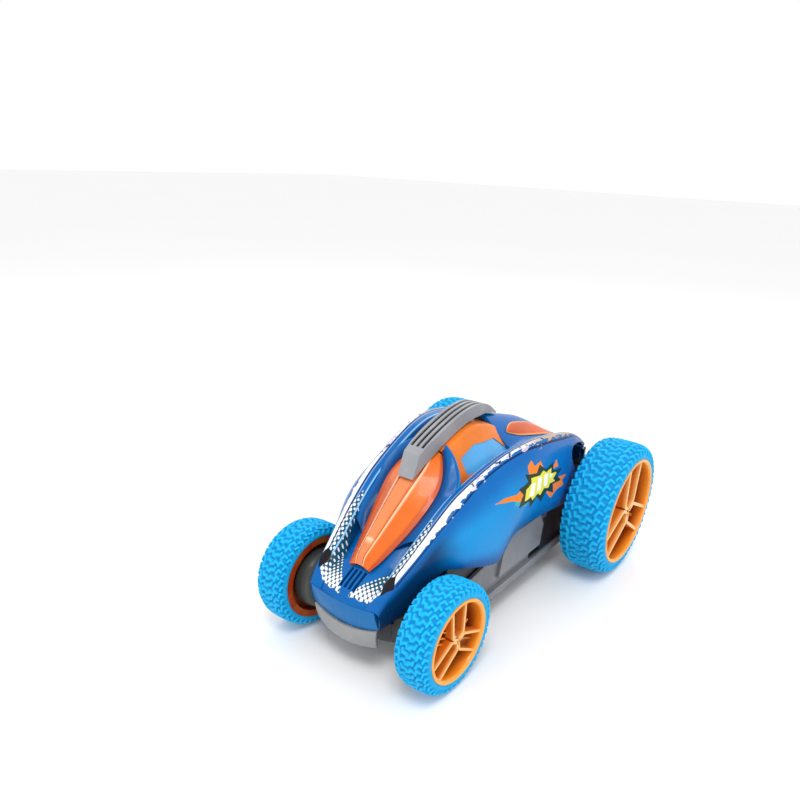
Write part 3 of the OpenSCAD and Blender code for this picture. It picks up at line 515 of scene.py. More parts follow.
def marked_plastic(name, colour, other, key, low, high, rough, coat):
    """Moulded plastic that turns to another colour where a mark is high."""
    p = Paint(name, rough, coat)
    base = p.drift(60, shade(colour, 0.88), shade(colour, 1.1))
    base = p.blend(p.step(p.mark(key), low, high), base, other)
    return p.surface(base, 130, rough - 0.06, rough + 0.1, 800, 0.02, 0.4)


def tyre_rubber():
    """Soft cyan tyre compound: painted shade in the grooves, a painted highlight on the tread tops, fine
    moulding grain.
    """
    p = Paint("tyre_compound", 0.5, 0.0, 0.2)
    base = p.drift(60, (0.001, 0.34, 0.68), (0.002, 0.38, 0.74))
    # Painted light and shade: lighter on the tread tops, darker in the grooves.
    base = p.blend(p.mark("tread_top_highlight"), base, (0.004, 0.46, 0.84))
    base = p.blend(p.mark("tread_groove_shade"), base, (0.001, 0.25, 0.58))
    dust = p.step(p.noise(340, 6), 0.58, 0.75, 0, 0.25)
    return p.surface(p.blend(dust, base, (0.012, 0.5, 0.85)), 200, 0.48, 0.66, 1500, 0.03, 0.5)


def rim_plastic():
    """Orange rim: a painted highlight on the raised edges, a lighter outer ring, and painted shade that
    turns it darker and redder with depth and in the spoke channels.
    """
    p = Paint("rim_gloss", 0.3, 0.2)
    # Painted shade: darker and redder with depth, darkest in the spoke channels and slots.
    base = p.blend(p.step(p.mark("sunk"), 1.5, 8.0), (0.85, 0.25, 0.012), (0.32, 0.035, 0.005))
    base = p.blend(p.mark("channel"), base, (0.10, 0.012, 0.004))
    base = p.blend(p.mark("wall"), base, (0.62, 0.12, 0.01))
    base = p.blend(p.step(p.mark("ring"), 0.4, 0.9), base, (0.86, 0.36, 0.05))
    # Painted highlight: cream on the outer faces of the raised walls and fins.
    base = p.blend(p.step(p.mark("crest"), 0.74, 0.88), base, (0.90, 0.46, 0.14))
    drift = p.step(p.noise(90, 4), 0.35, 0.65, 0.0, 0.12)
    return p.surface(p.blend(drift, base, (0.95, 0.42, 0.08)), 140, 0.24, 0.38, 900, 0.015, 0.3)


def insert_plastic():
    """Orange hood insert: a painted highlight on the flat crown, the blister and beside the creases,
    painted shade in the creases, and painted shade that makes the steeper sides and the front end
    redder.
    """
    p = Paint("insert_gloss", 0.24, 0.2)
    base = p.drift(60, shade(ORANGE, 0.92), shade(ORANGE, 1.1))
    # Painted shade on the steeper sides and towards the front, a painted highlight on the crown, the
    # blister and beside the creases, and painted shade in the creases.
    base = p.blend(p.mark("steep_shade"), base, (0.50, 0.06, 0.006))
    base = p.blend(p.mark("glint"), base, (0.95, 0.6, 0.36))
    base = p.blend(p.mark("crease_shade"), base, (0.33, 0.035, 0.006))
    return p.surface(base, 130, 0.18, 0.34, 800, 0.012, 0.3)


ORANGE = (0.78, 0.15, 0.01)
FINISH = {
    "trim_orange": plastic("trim_gloss", (0.82, 0.2, 0.02), 0.26, 0.2, depth=0.012, vary=0.1),
    "spine_grey": plastic("spine_satin", (0.30, 0.31, 0.33), 0.36, 0.1, vary=0.08, wear=0.2),
    "window_blue": plastic("window_gloss", (0.09, 0.4, 0.78), 0.2, 0.3, depth=0.01),
    "tub_navy": plastic("tub_satin", (0.01, 0.04, 0.2)),
    "bumper_grey": plastic("bumper_satin", (0.27, 0.275, 0.28), 0.38, 0.1, vary=0.07, wear=0.2),
    "chassis_grey": plastic("chassis_texture", (0.06, 0.063, 0.07), 0.5, grain=1400,
                            depth=0.05, wear=0.25),
    "sill_grey": plastic("sill_satin", (0.19, 0.195, 0.21), 0.4, 0.1, vary=0.12, wear=0.2),
    "black_plastic": plastic("black_texture", (0.012, 0.012, 0.016), 0.45, grain=1300,
                             depth=0.05, wear=0.3),
    "gear_nylon": plastic("nylon", (0.78, 0.75, 0.66), 0.42, 0.05, vary=0.05),
    "steel": metal("turned_steel", (0.6, 0.61, 0.63)),
    "motor_can": metal("plated_can", (0.55, 0.56, 0.57), 0.34),
    "bronze": metal("sintered_bronze", (0.55, 0.36, 0.16), 0.42, (400, 400, 400)),
    "board_green": plastic("solder_mask", (0.012, 0.16, 0.06), 0.25, 0.4, grain=500),
    "cell_wrap": plastic("cell_sleeve", (0.03, 0.14, 0.5), 0.22, 0.5, depth=0.015),
    "contact_nickel": metal("nickel", (0.7, 0.69, 0.64), 0.2, (300, 300, 900)),
    "slider_white": plastic("slider_plastic", (0.8, 0.8, 0.77), 0.4, vary=0.04),
    "wire_red": plastic("wire_sheath", (0.5, 0.01, 0.01), 0.38, 0.2, vary=0.1),
    "shell_blue": shell_paint(),
    "tyre_cyan": tyre_rubber(),
    "rim_orange": rim_plastic(),
}
INSERT = insert_plastic()
LOZENGE = marked_plastic("lozenge_gloss", (0.64, 0.09, 0.008), (0.85, 0.36, 0.08), "rim", 0.72, 0.95,
                         0.35, 0.15)
DRUM = marked_plastic("drum_satin", (0.04, 0.045, 0.042), (0.075, 0.085, 0.07), "dome", 0.2, 1.0,
                      0.42, 0.1)

# ---- livery marks, with painted light and shade ----

# Outer and inner edge of the white stripe, in millimetres out from the crest line
STRIPE_EDGE = [(-78, 0.6), (-40, 0.8), (20, 0.9), (34, 1.1), (46, 2.7), (62, 2.7), (80, 1.2),
               (92, 0.2)]
STRIPE_INNER = -1.1
# Dotted print on the hood and its black corner, as (forward, out from the middle) points
SCREEN = [(93.4, 2.8), (93, 8.9), (91.8, 13.7), (90.3, 16.9), (88.7, 17.8), (85, 19.6), (78.6, 21.5),
          (72.7, 21.5), (64, 22), (56, 20.5), (60, 18.2), (70, 16.5), (78, 13), (84, 9.4), (90.8, 3.4)]
PATCH = [(90.1, 18.2), (85, 15.4), (82.4, 16.8), (81.7, 19.6), (85.2, 21.4)]
# Generic spiky splash: each colour's patches as (forward, up) points round its middle
SPLASH = {
    "glow": [[(19, -7), (15, -1), (9, 2), (6, -4), (12, -9)]],
    "blaze": [[(28, -5), (22, -2.6), (17, -2.2), (11, 1), (9, -5), (16, -5.6), (20, -4.4)],
              [(8, 3), (7.4, 9.5), (4.6, 12), (3.4, 9), (-1, 10.6), (-3, 5)],
              [(-9, 5), (-14, 9), (-15, 5)],
              [(-9, 0), (-24, -1), (-19, -3.4), (-21.5, -6.4), (-14, -7.4), (-9, -10.5), (-4, -6)]],
    "burst": [[(17, -9), (13, -3), (15, 0), (9, 2.5), (10, 6), (3, 5.5), (0, 9), (-4, 6),
               (-11, 8.5), (-10, 4), (-19, 3.5), (-14, 0.5), (-18, -3), (-10, -3), (-11, -8),
               (-4, -5), (0, -10), (4, -6), (9, -11), (9, -7)]],
    "spark": [[(12.5, -6.5), (11, -1), (7, 1.5), (7, 4), (1, 4), (-2, 6), (-4, 4.5), (-9, 6),
               (-8, 3), (-14, 2.5), (-10, 0), (-12, -2), (-7, -1.8), (-6, -4), (-2, -3.2),
               (1, -6), (3, -4.5), (7, -7), (8, -5)]],
    "core": [[(9.5, -4.6), (7, 1), (4.4, 1.4), (6, -4.8)], [(4, -3.8), (2.4, 3), (-0.6, 3.4), (1, -3)],
             [(-1.6, -2.6), (-2.2, 3.6), (-5.6, 3.8), (-4.6, -2)], [(-6.6, 0.2), (-7, 3.4), (-10, 2.2)]],
}
SPLASH_AT = (-4.0, 68.8)
SPLASH_SIZE = (1.3, 1.0)
SPLASH_TILT = 0.16


def inside(px, pz, outline):
    """Signed distance into a polygon, positive inside."""
    points = np.array(outline, float)
    best = np.full(px.shape, 1e9)
    odd = np.zeros(px.shape, bool)
    for (ax, az), (bx, bz) in zip(points, np.roll(points, -1, 0)):
        ex, ez = bx - ax, bz - az
        t = np.clip(((px - ax) * ex + (pz - az) * ez) / (ex * ex + ez * ez), 0, 1)
        best = np.minimum(best, np.hypot(px - ax - t * ex, pz - az - t * ez))
        crosses = (az > pz) != (bz > pz)
        odd ^= crosses & (px < ax + (pz - az) / (ez if ez else 1e-9) * ex)
    return np.where(odd, best, -best)


def livery(grid, out, flank):
    """Marks for shell points: out is the distance outwards from the crest line."""
    x, y, z = grid[..., 0], np.abs(grid[..., 1]), grid[..., 2]
    edge = curve(STRIPE_EDGE, np.clip(x, -78, 92))
    brink = -1.03 * band_w(x) + 0.3
    marks = plain_marks(x.shape)
    marks["stripe"] = np.minimum(out - STRIPE_INNER, edge - out) + NO_PRINT * ramp(x, 86, 90)
    marks["torn"] = ramp(x, 72, 60) * ramp(x, -60, -40) * ramp(out, 0.0, edge + 0.4)
    # Painted highlight lines: light blue on the inner edge of the crest's top band, pale on the band
    # itself.
    marks["painted_edge_highlight"] = 0.42 - np.abs(out - brink) + NO_PRINT * ramp(x, 84, 88)
    marks["painted_inner_highlight"] = 0.24 - np.abs(out + 2.3) + NO_PRINT * ramp(x, 78, 82)
    marks["navy_line"] = np.maximum(0.32 - np.abs(out + 1.6), 0.45 - np.abs(out - edge - 1.4))
    marks["navy_line"] += NO_PRINT * ramp(x, 84, 88)
    marks["tint"] = ramp(x, 16, -20) * 0.9
    marks["speck"] = ramp(x, 44, 34) * ramp(x, -60, -30)
    marks["screen"] = np.minimum(inside(x, y, SCREEN), 0.7 - out if flank else np.inf)
    marks["dot_size"] = mix(0.25, 0.47, np.maximum(ramp(x, 83, 91), ramp(out, -5, -1.5)))
    marks["patch"] = inside(x, y, PATCH)
    if flank:
        crest_z, skirt_z = curve(RIDGE_Z, x), curve(SKIRT_Z, np.maximum(x, SKIRT_END))
        low = np.clip((crest_z - z) / (crest_z - skirt_z), 0, 1)
        # Painted light: a lighter blue across the middle of the flank.
        marks["light"] = 0.75 * ramp(x, -20, 40) * ramp(low, 0.1, 0.4) * ramp(low, 1.0, 0.7)
        # Painted shade: dark navy near the front wheel, at the foot of the skirt and down the inner
        # wall.
        marks["painted_shade"] = np.maximum(0.92 * ramp(x, 52, 68) * ramp(low, 0.06, 0.3),
                                   0.45 * ramp(low, 0.8, 1.0)) * (out > 0)
        marks["painted_shade"] = np.maximum(marks["painted_shade"], 0.85 * ramp(out, -5, -9))
        forward = (x - SPLASH_AT[0]) / SPLASH_SIZE[0]
        up = (z - SPLASH_AT[1] - SPLASH_TILT * (x - SPLASH_AT[0])) / SPLASH_SIZE[1]
        for key, patches in SPLASH.items():
            depth = np.max([inside(forward, up, outline) for outline in patches], 0)
            marks[key] = np.where(out > 1.5, depth * SPLASH_SIZE[0], NO_PRINT)
    else:
        # Painted shade: dark navy on the hood next to the ridges.
        marks["painted_shade"] = 0.75 * ramp(np.abs(out), 12, 5) * ramp(x, 88, 74) * ramp(x, 20, 40)
    return marks


def plain_marks(shape):
    """Marks for a point that carries no print at all."""
    off = ("stripe", "painted_edge_highlight", "painted_inner_highlight", "navy_line", "screen", "patch", *SPLASH)
    marks = {key: np.full(shape, NO_PRINT) for key in off}
    for key in ("torn", "tint", "speck", "dot_size", "light", "painted_shade"):
        marks[key] = np.zeros(shape)
    return marks


# ---- body shell ----

def build_shell():
    """Both sides, the rear deck and the tail in one skin."""
    lines = np.concatenate([np.linspace(-2, -1, 12), np.linspace(-1, 0, 12)[1:],
                            np.linspace(0, 1, 66)[1:]])
    along = np.linspace(0, 1, 240)[:, None]
    t = lines[None, :]
    tail = np.where(t <= 0, -76, curve(FLANK_END, np.clip(t, 0, 1)))
    x = mix(94.6 - 1.6 * np.maximum(t, 0), tail, along)
    side = flank_point(x, np.broadcast_to(t, x.shape))
    drop = np.cumsum(np.concatenate([np.zeros((len(x), 1)), np.linalg.norm(
        np.diff(side[..., 1:], axis=1), axis=2)], 1), 1)
    out = drop - drop[:, np.argmin(np.abs(lines))][:, None]
    marks = livery(side, out, True)
    pool = Pool()
    pool.add(side, marks)
    pool.add(mirrored(side), marks, flip=True)
    v = np.linspace(-1, 1, 61)[None, :]
    deck = np.concatenate([deck_point(np.linspace(-8, -77.5, 80)[:, None], v),
                           tail_point(np.linspace(0.12, 1, 18)[:, None], v)])
    pool.add(deck, livery(deck, np.abs(deck[..., 1]) - curve(RIDGE_Y, deck[..., 0]) - 2, False))
    shell = pool.build("shell_sides_and_deck")
    thicken(shell, SKIN)
    soften(shell, 0.35, 50)
    place(shell, "shell_blue", "body_shell")


def build_hood():
    v = np.linspace(-1, 1, 61)[None, :]
    hood = np.concatenate([nose_point(np.linspace(1, -0.04, 16)[:, None], v),
                           hood_point(np.linspace(95.2, 42.5, 110)[:, None], v)])
    marks = livery(hood, np.abs(hood[..., 1]) - curve(RIDGE_Y, np.minimum(hood[..., 0], 95)), False)
    face = ramp(hood[..., 2], 37.5, 35.5)
    marks["screen"] += NO_PRINT * face
    # Painted light and shade on the nose face: a lighter blue with a little shade over it.
    marks["painted_shade"] = mix(marks["painted_shade"], 0.25, face)
    marks["light"] = 0.35 * face
    front = sheet("shell_hood_and_nose", hood, marks)
    thicken(front, SKIN)
    slots = Pool()
    # The cut walls of the grille slots carry these marks: painted shade inside the slots.
    slot_marks = {**plain_marks(1), "painted_shade": 1.0}
    for i in (-1.5, -0.5, 0.5, 1.5):
        middle = i * HOOD_SLOT_PITCH
        slots.prism(strip(-5.4, 0, 6, 4.6, 0, 6), middle - HOOD_SLOT_HALF, middle + HOOD_SLOT_HALF,
                    slot_marks)
    cutter = slots.build("grille_cutter")
    cutter.matrix_world = turned(HOOD_SLOT_AT, HOOD_SLOT_SLOPE, "Y")
    cut(front, cutter)
    soften(front, 0.3, 50)
    place(front, "shell_blue")


def build_pillars():
    """Wide curved blades from the insert's edge to a rounded outer edge that meets the spine."""
    steps = np.linspace(0, len(PILLAR) - 1, 80)
    points = np.array(PILLAR, float)
    path = np.stack([curve(list(enumerate(points[:, i])), steps) for i in range(3)], 1)
    ahead = np.gradient(path, axis=0)
    ahead /= np.linalg.norm(ahead, axis=1)[:, None]
    across = np.cross([0, 0, 1], ahead) * -1
    across /= np.linalg.norm(across, axis=1)[:, None]
    across *= np.sign(across[:, 1:2])
    up = np.cross(ahead, across)
    up *= np.sign(up[:, 2:3])
    x = mix(70, 35, steps / steps[-1])
    inner = stack(x, curve(INSERT_HALF, x) - 0.5, curve(INSERT_EDGE, x) - 0.6)
    radius = PILLAR_R * mix(0.7, 1.0, ramp(steps, 0, 1))[:, None, None]
    v = np.linspace(0, 1, 20)[None, :, None]
    crown = path[:, None] + radius * up[:, None]
    blade = mix(inner[:, None], crown, v[:, :-1])
    blade[..., 2] += 1.2 * np.sin(np.pi * v[0, :-1, 0])
    a = np.radians(np.linspace(90, -110, 22))[None, :, None]
    lip = path[:, None] + radius * (np.cos(a) * across[:, None] + np.sin(a) * up[:, None])
    grid = np.concatenate([blade, lip], 1)
    marks = plain_marks(grid.shape[:2])
    # Painted highlight in a band along the rounded lip; painted shade, darkest at the blade's inner
    # edge.
    marks["light"][:, blade.shape[1]:] = np.where(np.abs(a[0, :, 0] - math.radians(40)) < 0.35, 1.0, 0.0)
    marks["painted_shade"][:] = mix(0.2, 0.85, ramp(np.arange(grid.shape[1]), 16, 2))[None, :]
    obj = sheet("shell_pillars", grid, marks, both=True)
    thicken(obj, PILLAR_THICK)
    place(obj, "shell_blue")


def canopy_foot(x):
    """Half width of the canopy's foot, kept clear of the ridges."""
    return np.minimum(CANOPY_FOOT, curve(RIDGE_Y, x) - 10)


def build_gutters():
    """Floor of the cockpit opening, from the foot of the flank's inner wall to the canopy's edge."""
    x = np.linspace(44, -14, 60)[:, None]
    foot = flank_point(x, np.full(x.shape, -2.0))
    inner = stack(x, mix(canopy_foot(x) - 1, 14, ramp(x, 31, 38)),
                  np.minimum(CANOPY_BASE - 0.5, foot[..., 2] + 1))
    grid = mix(foot, inner, np.linspace(0, 1, 8)[None, :, None])
    marks = plain_marks(grid.shape[:2])
    # Painted shade over the whole gutter floor.
    marks["painted_shade"][:] = 0.8
    obj = sheet("cockpit_gutters", grid, marks, both=True)
    thicken(obj, 0.8)
    place(obj, "shell_blue")


# ---- trim on the body ----

def build_insert():
    """Creased hood insert with a small raised blister near its front end."""
    share, fall = np.array(INSERT_FALL).T
    v = np.unique(np.concatenate([share, np.linspace(0, 1, 18)]))
    v = np.concatenate([-v[:0:-1], v])[None, :]
    x = np.linspace(83, 33, 100)[:, None]
    top = stack(x, v * curve(INSERT_HALF, x), mix(
        curve(INSERT_CROWN, x), curve(INSERT_EDGE, x), np.interp(np.abs(v), share, fall)))
    blister = np.exp(-((x - 76) / 1.1) ** 2 - ((v * curve(INSERT_HALF, x)) / 2.2) ** 4)
    top[..., 2] += 0.7 * blister
    a = np.abs(v) + 0 * x
    # Marks for painted light: highlights on the blister, the crown and beside each crease; shade in the
    # creases, on the steeper sides and towards the front.
    obj = sheet("hood_insert_panel", top, {
        "glint": np.maximum(blister, 0.9 * (np.abs(a - 0.345) < 0.028) + 0.2 * (a < 0.24)),
        "crease_shade": np.where(np.abs(a - 0.28) < 0.02, 0.9, 0.0),
        "steep_shade": 0.85 * ramp(a, 0.78, 0.9) + 0.25 * ramp(x, 60, 80)})
    thicken(obj, 2.2)
    soften(obj, 0.25, 40)
    place(obj, "trim_orange", "hood_insert", look=INSERT)


def build_spine():
    """Arched spine with three slots over a black sheet that stands in for the shade inside them,
    narrower at the tail and the front.
    """
    upper = [(x, float(curve(SPINE_TOP, x))) for x in np.linspace(-20.5, 46.6, 60)]
    lower = [(x, float(curve(SPINE_UNDER, x))) for x in np.linspace(51.4, -20.5, 50)]
    pool = Pool()
    pool.prism(upper + lower, -SPINE_W / 2, SPINE_W / 2)
    obj = pool.build("spine_arch")
    slots, shade_sheets = Pool(), Pool()
    xs = np.linspace(-9, 43, 40)
    floor_x = np.linspace(42.6, -8.6, 40)[:, None]
    for i in (-1, 0, 1):
        edges = i * SPINE_SLOT_PITCH - SPINE_SLOT_HALF, i * SPINE_SLOT_PITCH + SPINE_SLOT_HALF
        over = [(x, float(curve(SPINE_TOP, x)) + 1) for x in xs]
        under = [(x, float(curve(SPINE_TOP, x)) - 2.2) for x in xs[::-1]]
        slots.prism(over + under, *edges)
        shade_sheets.add(stack(floor_x, np.linspace(*edges, 3)[None, :], curve(SPINE_TOP, floor_x) - 0.8))
    cut(obj, slots.build("slot_cutter"))
    for side in (-1, 1):
        for at, turn, low in SPINE_TAPERS:
            taper = Pool()
            taper.prism(strip(low, 10, 20, low + 40, 10, 20), 0, side * 8)
            cutter = taper.build("taper_cutter")
            cutter.matrix_world = turned((at, side * SPINE_W / 2, 80), side * turn, "Z")
            cut(obj, cutter)
    soften(obj, 0.4, 30, 3)
    place(obj, "spine_grey", "roof_spine")
    # A black sheet just under the slots, standing in for the shade inside them.
    shade_sheet = shade_sheets.build("spine_slot_shade_sheet")
    thicken(shade_sheet, 1.2)
    place(shade_sheet, "black_plastic")


def canopy_grid(lower):
    x = np.linspace(32, -14, 60)[:, None]
    y0 = np.concatenate([np.linspace(0, 8, 9), np.linspace(8, 9.8, 6)[1:],
                         np.linspace(9.8, CANOPY_FOOT, 20)[1:]])
    share = curve(CANOPY_HALF, y0)
    y0 = np.concatenate([-y0[:0:-1], y0])
    share = np.concatenate([share[:0:-1], share])
    spread = np.maximum(0, np.abs(y0) - 8) / 13.4
    y = np.sign(y0) * (np.abs(y0) + spread * (canopy_foot(x) - CANOPY_FOOT))
    top = curve(CANOPY_TOP, x)
    return stack(x, y, CANOPY_BASE + (top - CANOPY_BASE) * share - lower)


def window_cutter(grow):
    middle = np.mean(WINDOW, 0)
    outline = [tuple(middle + (np.array(p) - middle) * (1 + grow / WINDOW_REACH)) for p in WINDOW]
    pool = Pool()
    pool.prism(outline, 9, 30)
    pool.prism(outline, -30, -9)
    return pool.build("window_cutter")


def build_canopy():
    """Orange dome with its side windows cut out, and the light panes that fill them."""
    for name, lower, skin, grow, operation, edge, slot, node in (
            ("canopy_dome", 0, 1.5, 0, "DIFFERENCE", 0.3, "trim_orange", "canopy"),
            ("canopy_side_windows", 0.55, 0.9, -0.3, "INTERSECT", 0.15, "window_blue",
             "canopy_windows")):
        obj = sheet(name, canopy_grid(lower))
        thicken(obj, skin)
        cut(obj, window_cutter(grow), operation)
        soften(obj, edge, 35)
        place(obj, slot, node)


def build_deck_inserts():
    for side, sign in SIDES.items():
        x = np.linspace(-15, -67, 60)[:, None]
        v = np.linspace(-1, 1, 25)[None, :]
        half = curve(LOZENGE_HALF, x)
        y = curve(LOZENGE_MID, x) + v * half
        base = deck_point(x, y / deck_half(x))
        base[..., 2] += 0.5 + 0.7 * (1 - v * v)
        edge = np.maximum(np.abs(v), ramp(half, 1.6, 0.4)) + 0 * x
        if sign < 0:
            base = mirrored(base)
        obj = sheet(f"deck_lozenge_{side}", base, {"rim": edge}, sign < 0)
        thicken(obj, 1.2)
        soften(obj, 0.2, 40)
        place(obj, "trim_orange", f"deck_insert_{side}", look=LOZENGE)


def build_bumper():
    k = np.linspace(1, 0, 24)[:, None]
    v = np.linspace(-1, 1, 61)[None, :]
    y = mix(18.4, 17, k) * v
    top = stack(95.6 - 0.0058 * y * y, y, 24.4 + 2.8 * v * v)
    foot = stack(94.6 - 0.01 * y * y, y, box_mm("chassis_tray")[0][2] + 1 + 1.6 * v * v)
    grid = mix(top, foot, k[..., None])
    grid[..., 0] += 0.7 * np.sin(np.pi * k)
    pool = Pool()
    pool.add(grid)
    for side in (-1, 1):
        pool.prism(strip(84.2, 19, 2, 94, 19, 2), side * 5, side * 8)
    obj = pool.build("bumper_lip")
    thicken(obj, 1.8)
    soften(obj, 0.4, 40, 3)
    place(obj, "bumper_grey", "front_bumper")


# ---- wheels ----

# Raised tread strokes on one half, as (share of a pitch round, share of the half width across)
STROKES = [
    [(0.02, 0.03), (0.30, 0.14), (0.22, 0.30), (0.46, 0.36)],
    [(0.58, 0.12), (0.86, 0.20), (0.74, 0.40)],
    [(0.62, 0.50), (0.96, 0.56), (0.84, 0.74)],
    [(0.10, 0.50), (0.40, 0.62), (0.30, 0.80)],
    [(0.52, 0.84), (0.80, 0.92), (0.70, 1.16)],
    [(0.06, 0.92), (0.30, 1.00), (0.22, 1.22)],
]


def tread_height(turn, across, pitch, half):
    """Height share of the tread at turn pitches round and across -1 to 1."""
    best = np.full(turn.shape, 99.0)
    for sign, shift in ((1, 0.0), (-1, 0.5)):
        u = (turn + shift) % 1.0
        s = across * sign
        for stroke in STROKES:
            for (au, av), (bu, bv) in zip(stroke, stroke[1:]):
                for wrap in (-1, 0, 1):
                    px, py = (u - au - wrap) * pitch, (s - av) * half
                    ex, ey = (bu - au) * pitch, (bv - av) * half
                    t = np.clip((px * ex + py * ey) / (ex * ex + ey * ey), 0, 1)
                    best = np.minimum(best, np.hypot(px - t * ex, py - t * ey))
    return 1 - ramp(best, 0.055 * pitch, 0.055 * pitch + 0.55)


def spun(section, turns, centre, sign):
    """Points of a section of (radius, distance out) turned about a wheel axle."""
    r, out = section
    a = turns[:, None]
    x = centre[0] + r * np.cos(a)
    z = centre[2] + r * np.sin(a)
    return stack(x, sign * (centre[1] + out), z)


def build_tyre(end, side, blocks, rim_r):
    """Rounded tyre whose tread is sunk between raised strokes."""
    sign = SIDES[side]
    low, high = box_mm(f"{end}_tyre_l")
    centre, radius, half = (low + high) / 2, (high[2] - low[2]) / 2, (high[1] - low[1]) / 2
    base, power, depth = rim_r + 1.6, 3.2, 0.95
    rise = radius - base
    phi = np.linspace(0, np.pi, 92)
    c, s = np.cos(phi), np.sin(phi)
    across = -np.sign(c) * np.abs(c) ** (2 / power)
    out = half * across
    r = base + rise * np.abs(s) ** (2 / power)
    arc = np.concatenate([[0], np.cumsum(np.hypot(np.diff(out), np.diff(r)))])
    place_across = (arc - arc[-1] / 2) / half
    tangent_o, tangent_r = np.gradient(out, arc), np.gradient(r, arc)
    turns = np.linspace(0, 2 * np.pi, 25 * blocks, endpoint=False)
    pitch = 2 * np.pi * radius / blocks
    turn = turns[:, None] / (2 * np.pi) * blocks
    height = tread_height(*np.broadcast_arrays(turn, place_across[None, :]), pitch, half)
    on_tread = 1 - ramp(np.abs(place_across), 1.05, 1.32)[None, :]
    sink = depth * (1 - height) * on_tread
    rr = r[None, :] - sink * tangent_o[None, :]
    oo = out[None, :] + sink * tangent_r[None, :]
    # Beads that fold in behind the rim's edge
    bead = [(rim_r + 0.05, -half + 1.4), (rim_r + 1.1, -half + 0.7)]
    far = [(rim_r + 1.1, half - 0.15), (rim_r + 0.3, half - 0.5), (rim_r + 0.05, half - 1.4)]
    rows = len(turns)
    rr, oo = (np.concatenate([np.full((rows, 1), p[k]) for p in bead] + [values]
                             + [np.full((rows, 1), p[k]) for p in far], 1)
              for k, values in enumerate((rr, oo)))
    pad = ((0, 0), (len(bead), len(far)))
    top = np.pad(height * on_tread, pad)
    foot = np.pad((1 - height) * on_tread, pad)
    # Closed all the way round the wheel and round the section
    grid, top, foot = (np.pad(m, ((0, 1), (0, 1)) + ((0, 0),) * (m.ndim - 2), "wrap")
                       for m in (spun((rr, oo), turns, centre, sign), top, foot))
    obj = sheet(f"{end}_tread_tyre_{side}", grid, {"tread_top_highlight": top, "tread_groove_shade": foot}, sign < 0)
    weld(obj)
    place(obj, "tyre_cyan", f"{end}_tyre_{side}", body=wheel_body(end, side))


def wheel_body(end, side):
    return f"wheel_{end[0]}{side}"


def lathe(pool, profile, centre, sign, marks, turns=144):
    """Profile of (radius, distance out) points turned all the way round an axle."""
    section = np.array(profile, float)
    a = np.linspace(0, 2 * np.pi, turns, endpoint=False)
    grid = spun((section[None, :, 0], section[None, :, 1]), a, centre, sign)
    grid = np.concatenate([grid, grid[:1]])
    pool.add(grid, marks, flip=sign < 0)


RIM_MARKS = ("sunk", "channel", "wall", "ring", "crest")


def rim_marks(**given):
    return {key: given.get(key, 0.0) for key in RIM_MARKS}


def build_rim(end, side, r):
    sign = SIDES[side]
    low, high = box_mm(f"{end}_tyre_l")
    centre, w = (low + high) / 2, high[1] - low[1]
    centre[1] = low[1]
    web, face = 0.36 * w, w - 0.9
    pool = Pool()
    barrel = [(r - 1.9, 0.1), (r + 2.2, 0.1), (r + 2.2, 1.1), (r, 1.1), (r, w - 1), (r + 0.5, w - 0.5),
              (r + 0.45, w - 0.15), (r + 0.2, w), (r - 0.6, w), (r - 1.1, w - 0.25),
              (r - 1.5, w - 0.9), (r - 1.7, w - 1.6), (r - 1.9, w - 3), (r - 2.2, web + 2.6),
              (r - 3.2, web + 1.6), (0.45 * r, web + 1.4), (0, web + 1.4)]
    # Depth of each point below the outer face, which sets how much painted shade it gets.
    painted_shade = np.array([w - p[1] for p in barrel])
    ring = np.array([1.0 if p[1] > w - 1.2 and p[0] > r - 1.6 else 0.0 for p in barrel])
    lathe(pool, barrel, centre, sign, rim_marks(sunk=painted_shade, ring=ring))
    # The web gets a large depth mark, so it is painted in the darkest shade.
    lathe(pool, [(0, web), (r - 1.9, web), (r - 1.9, 0.1)], centre, sign, rim_marks(sunk=11.0))
    body = wheel_body(end, side)
    shell = pool.build(f"{end}_rim_barrel_{side}")
    weld(shell)
    soften(shell, 0.18, 40)
    place(shell, "rim_orange", f"{end}_rim_{side}", body=body)
    spokes = Pool()
    for i in range(3):
        a = math.radians(90 + 120 * i)
        add_spoke(spokes, a, r, web, face, centre, sign)
        add_fins(spokes, a + math.radians(60), r, w, web, centre, sign)
    star = spokes.build(f"{end}_rim_spokes_{side}")
    soften(star, 0.16, 30)
    place(star, "rim_orange", f"{end}_hub_cap_{side}", body=body)


def turned_prism(pool, outline, a, y0, y1, centre, sign, crest=0.0, **marks):
    """Prism over an (outwards, across) outline turned to angle a; crest marks its outer face for a
    painted highlight.
    """
    ca, sa = math.cos(a), math.sin(a)
    flat = [(centre[0] + p * ca - q * sa, centre[2] + p * sa + q * ca) for p, q in outline]
    outer = np.repeat([0.0, crest] if sign > 0 else [crest, 0.0], len(outline))
    pool.prism(flat, sign * (centre[1] + y0), sign * (centre[1] + y1), rim_marks(crest=outer, **marks))


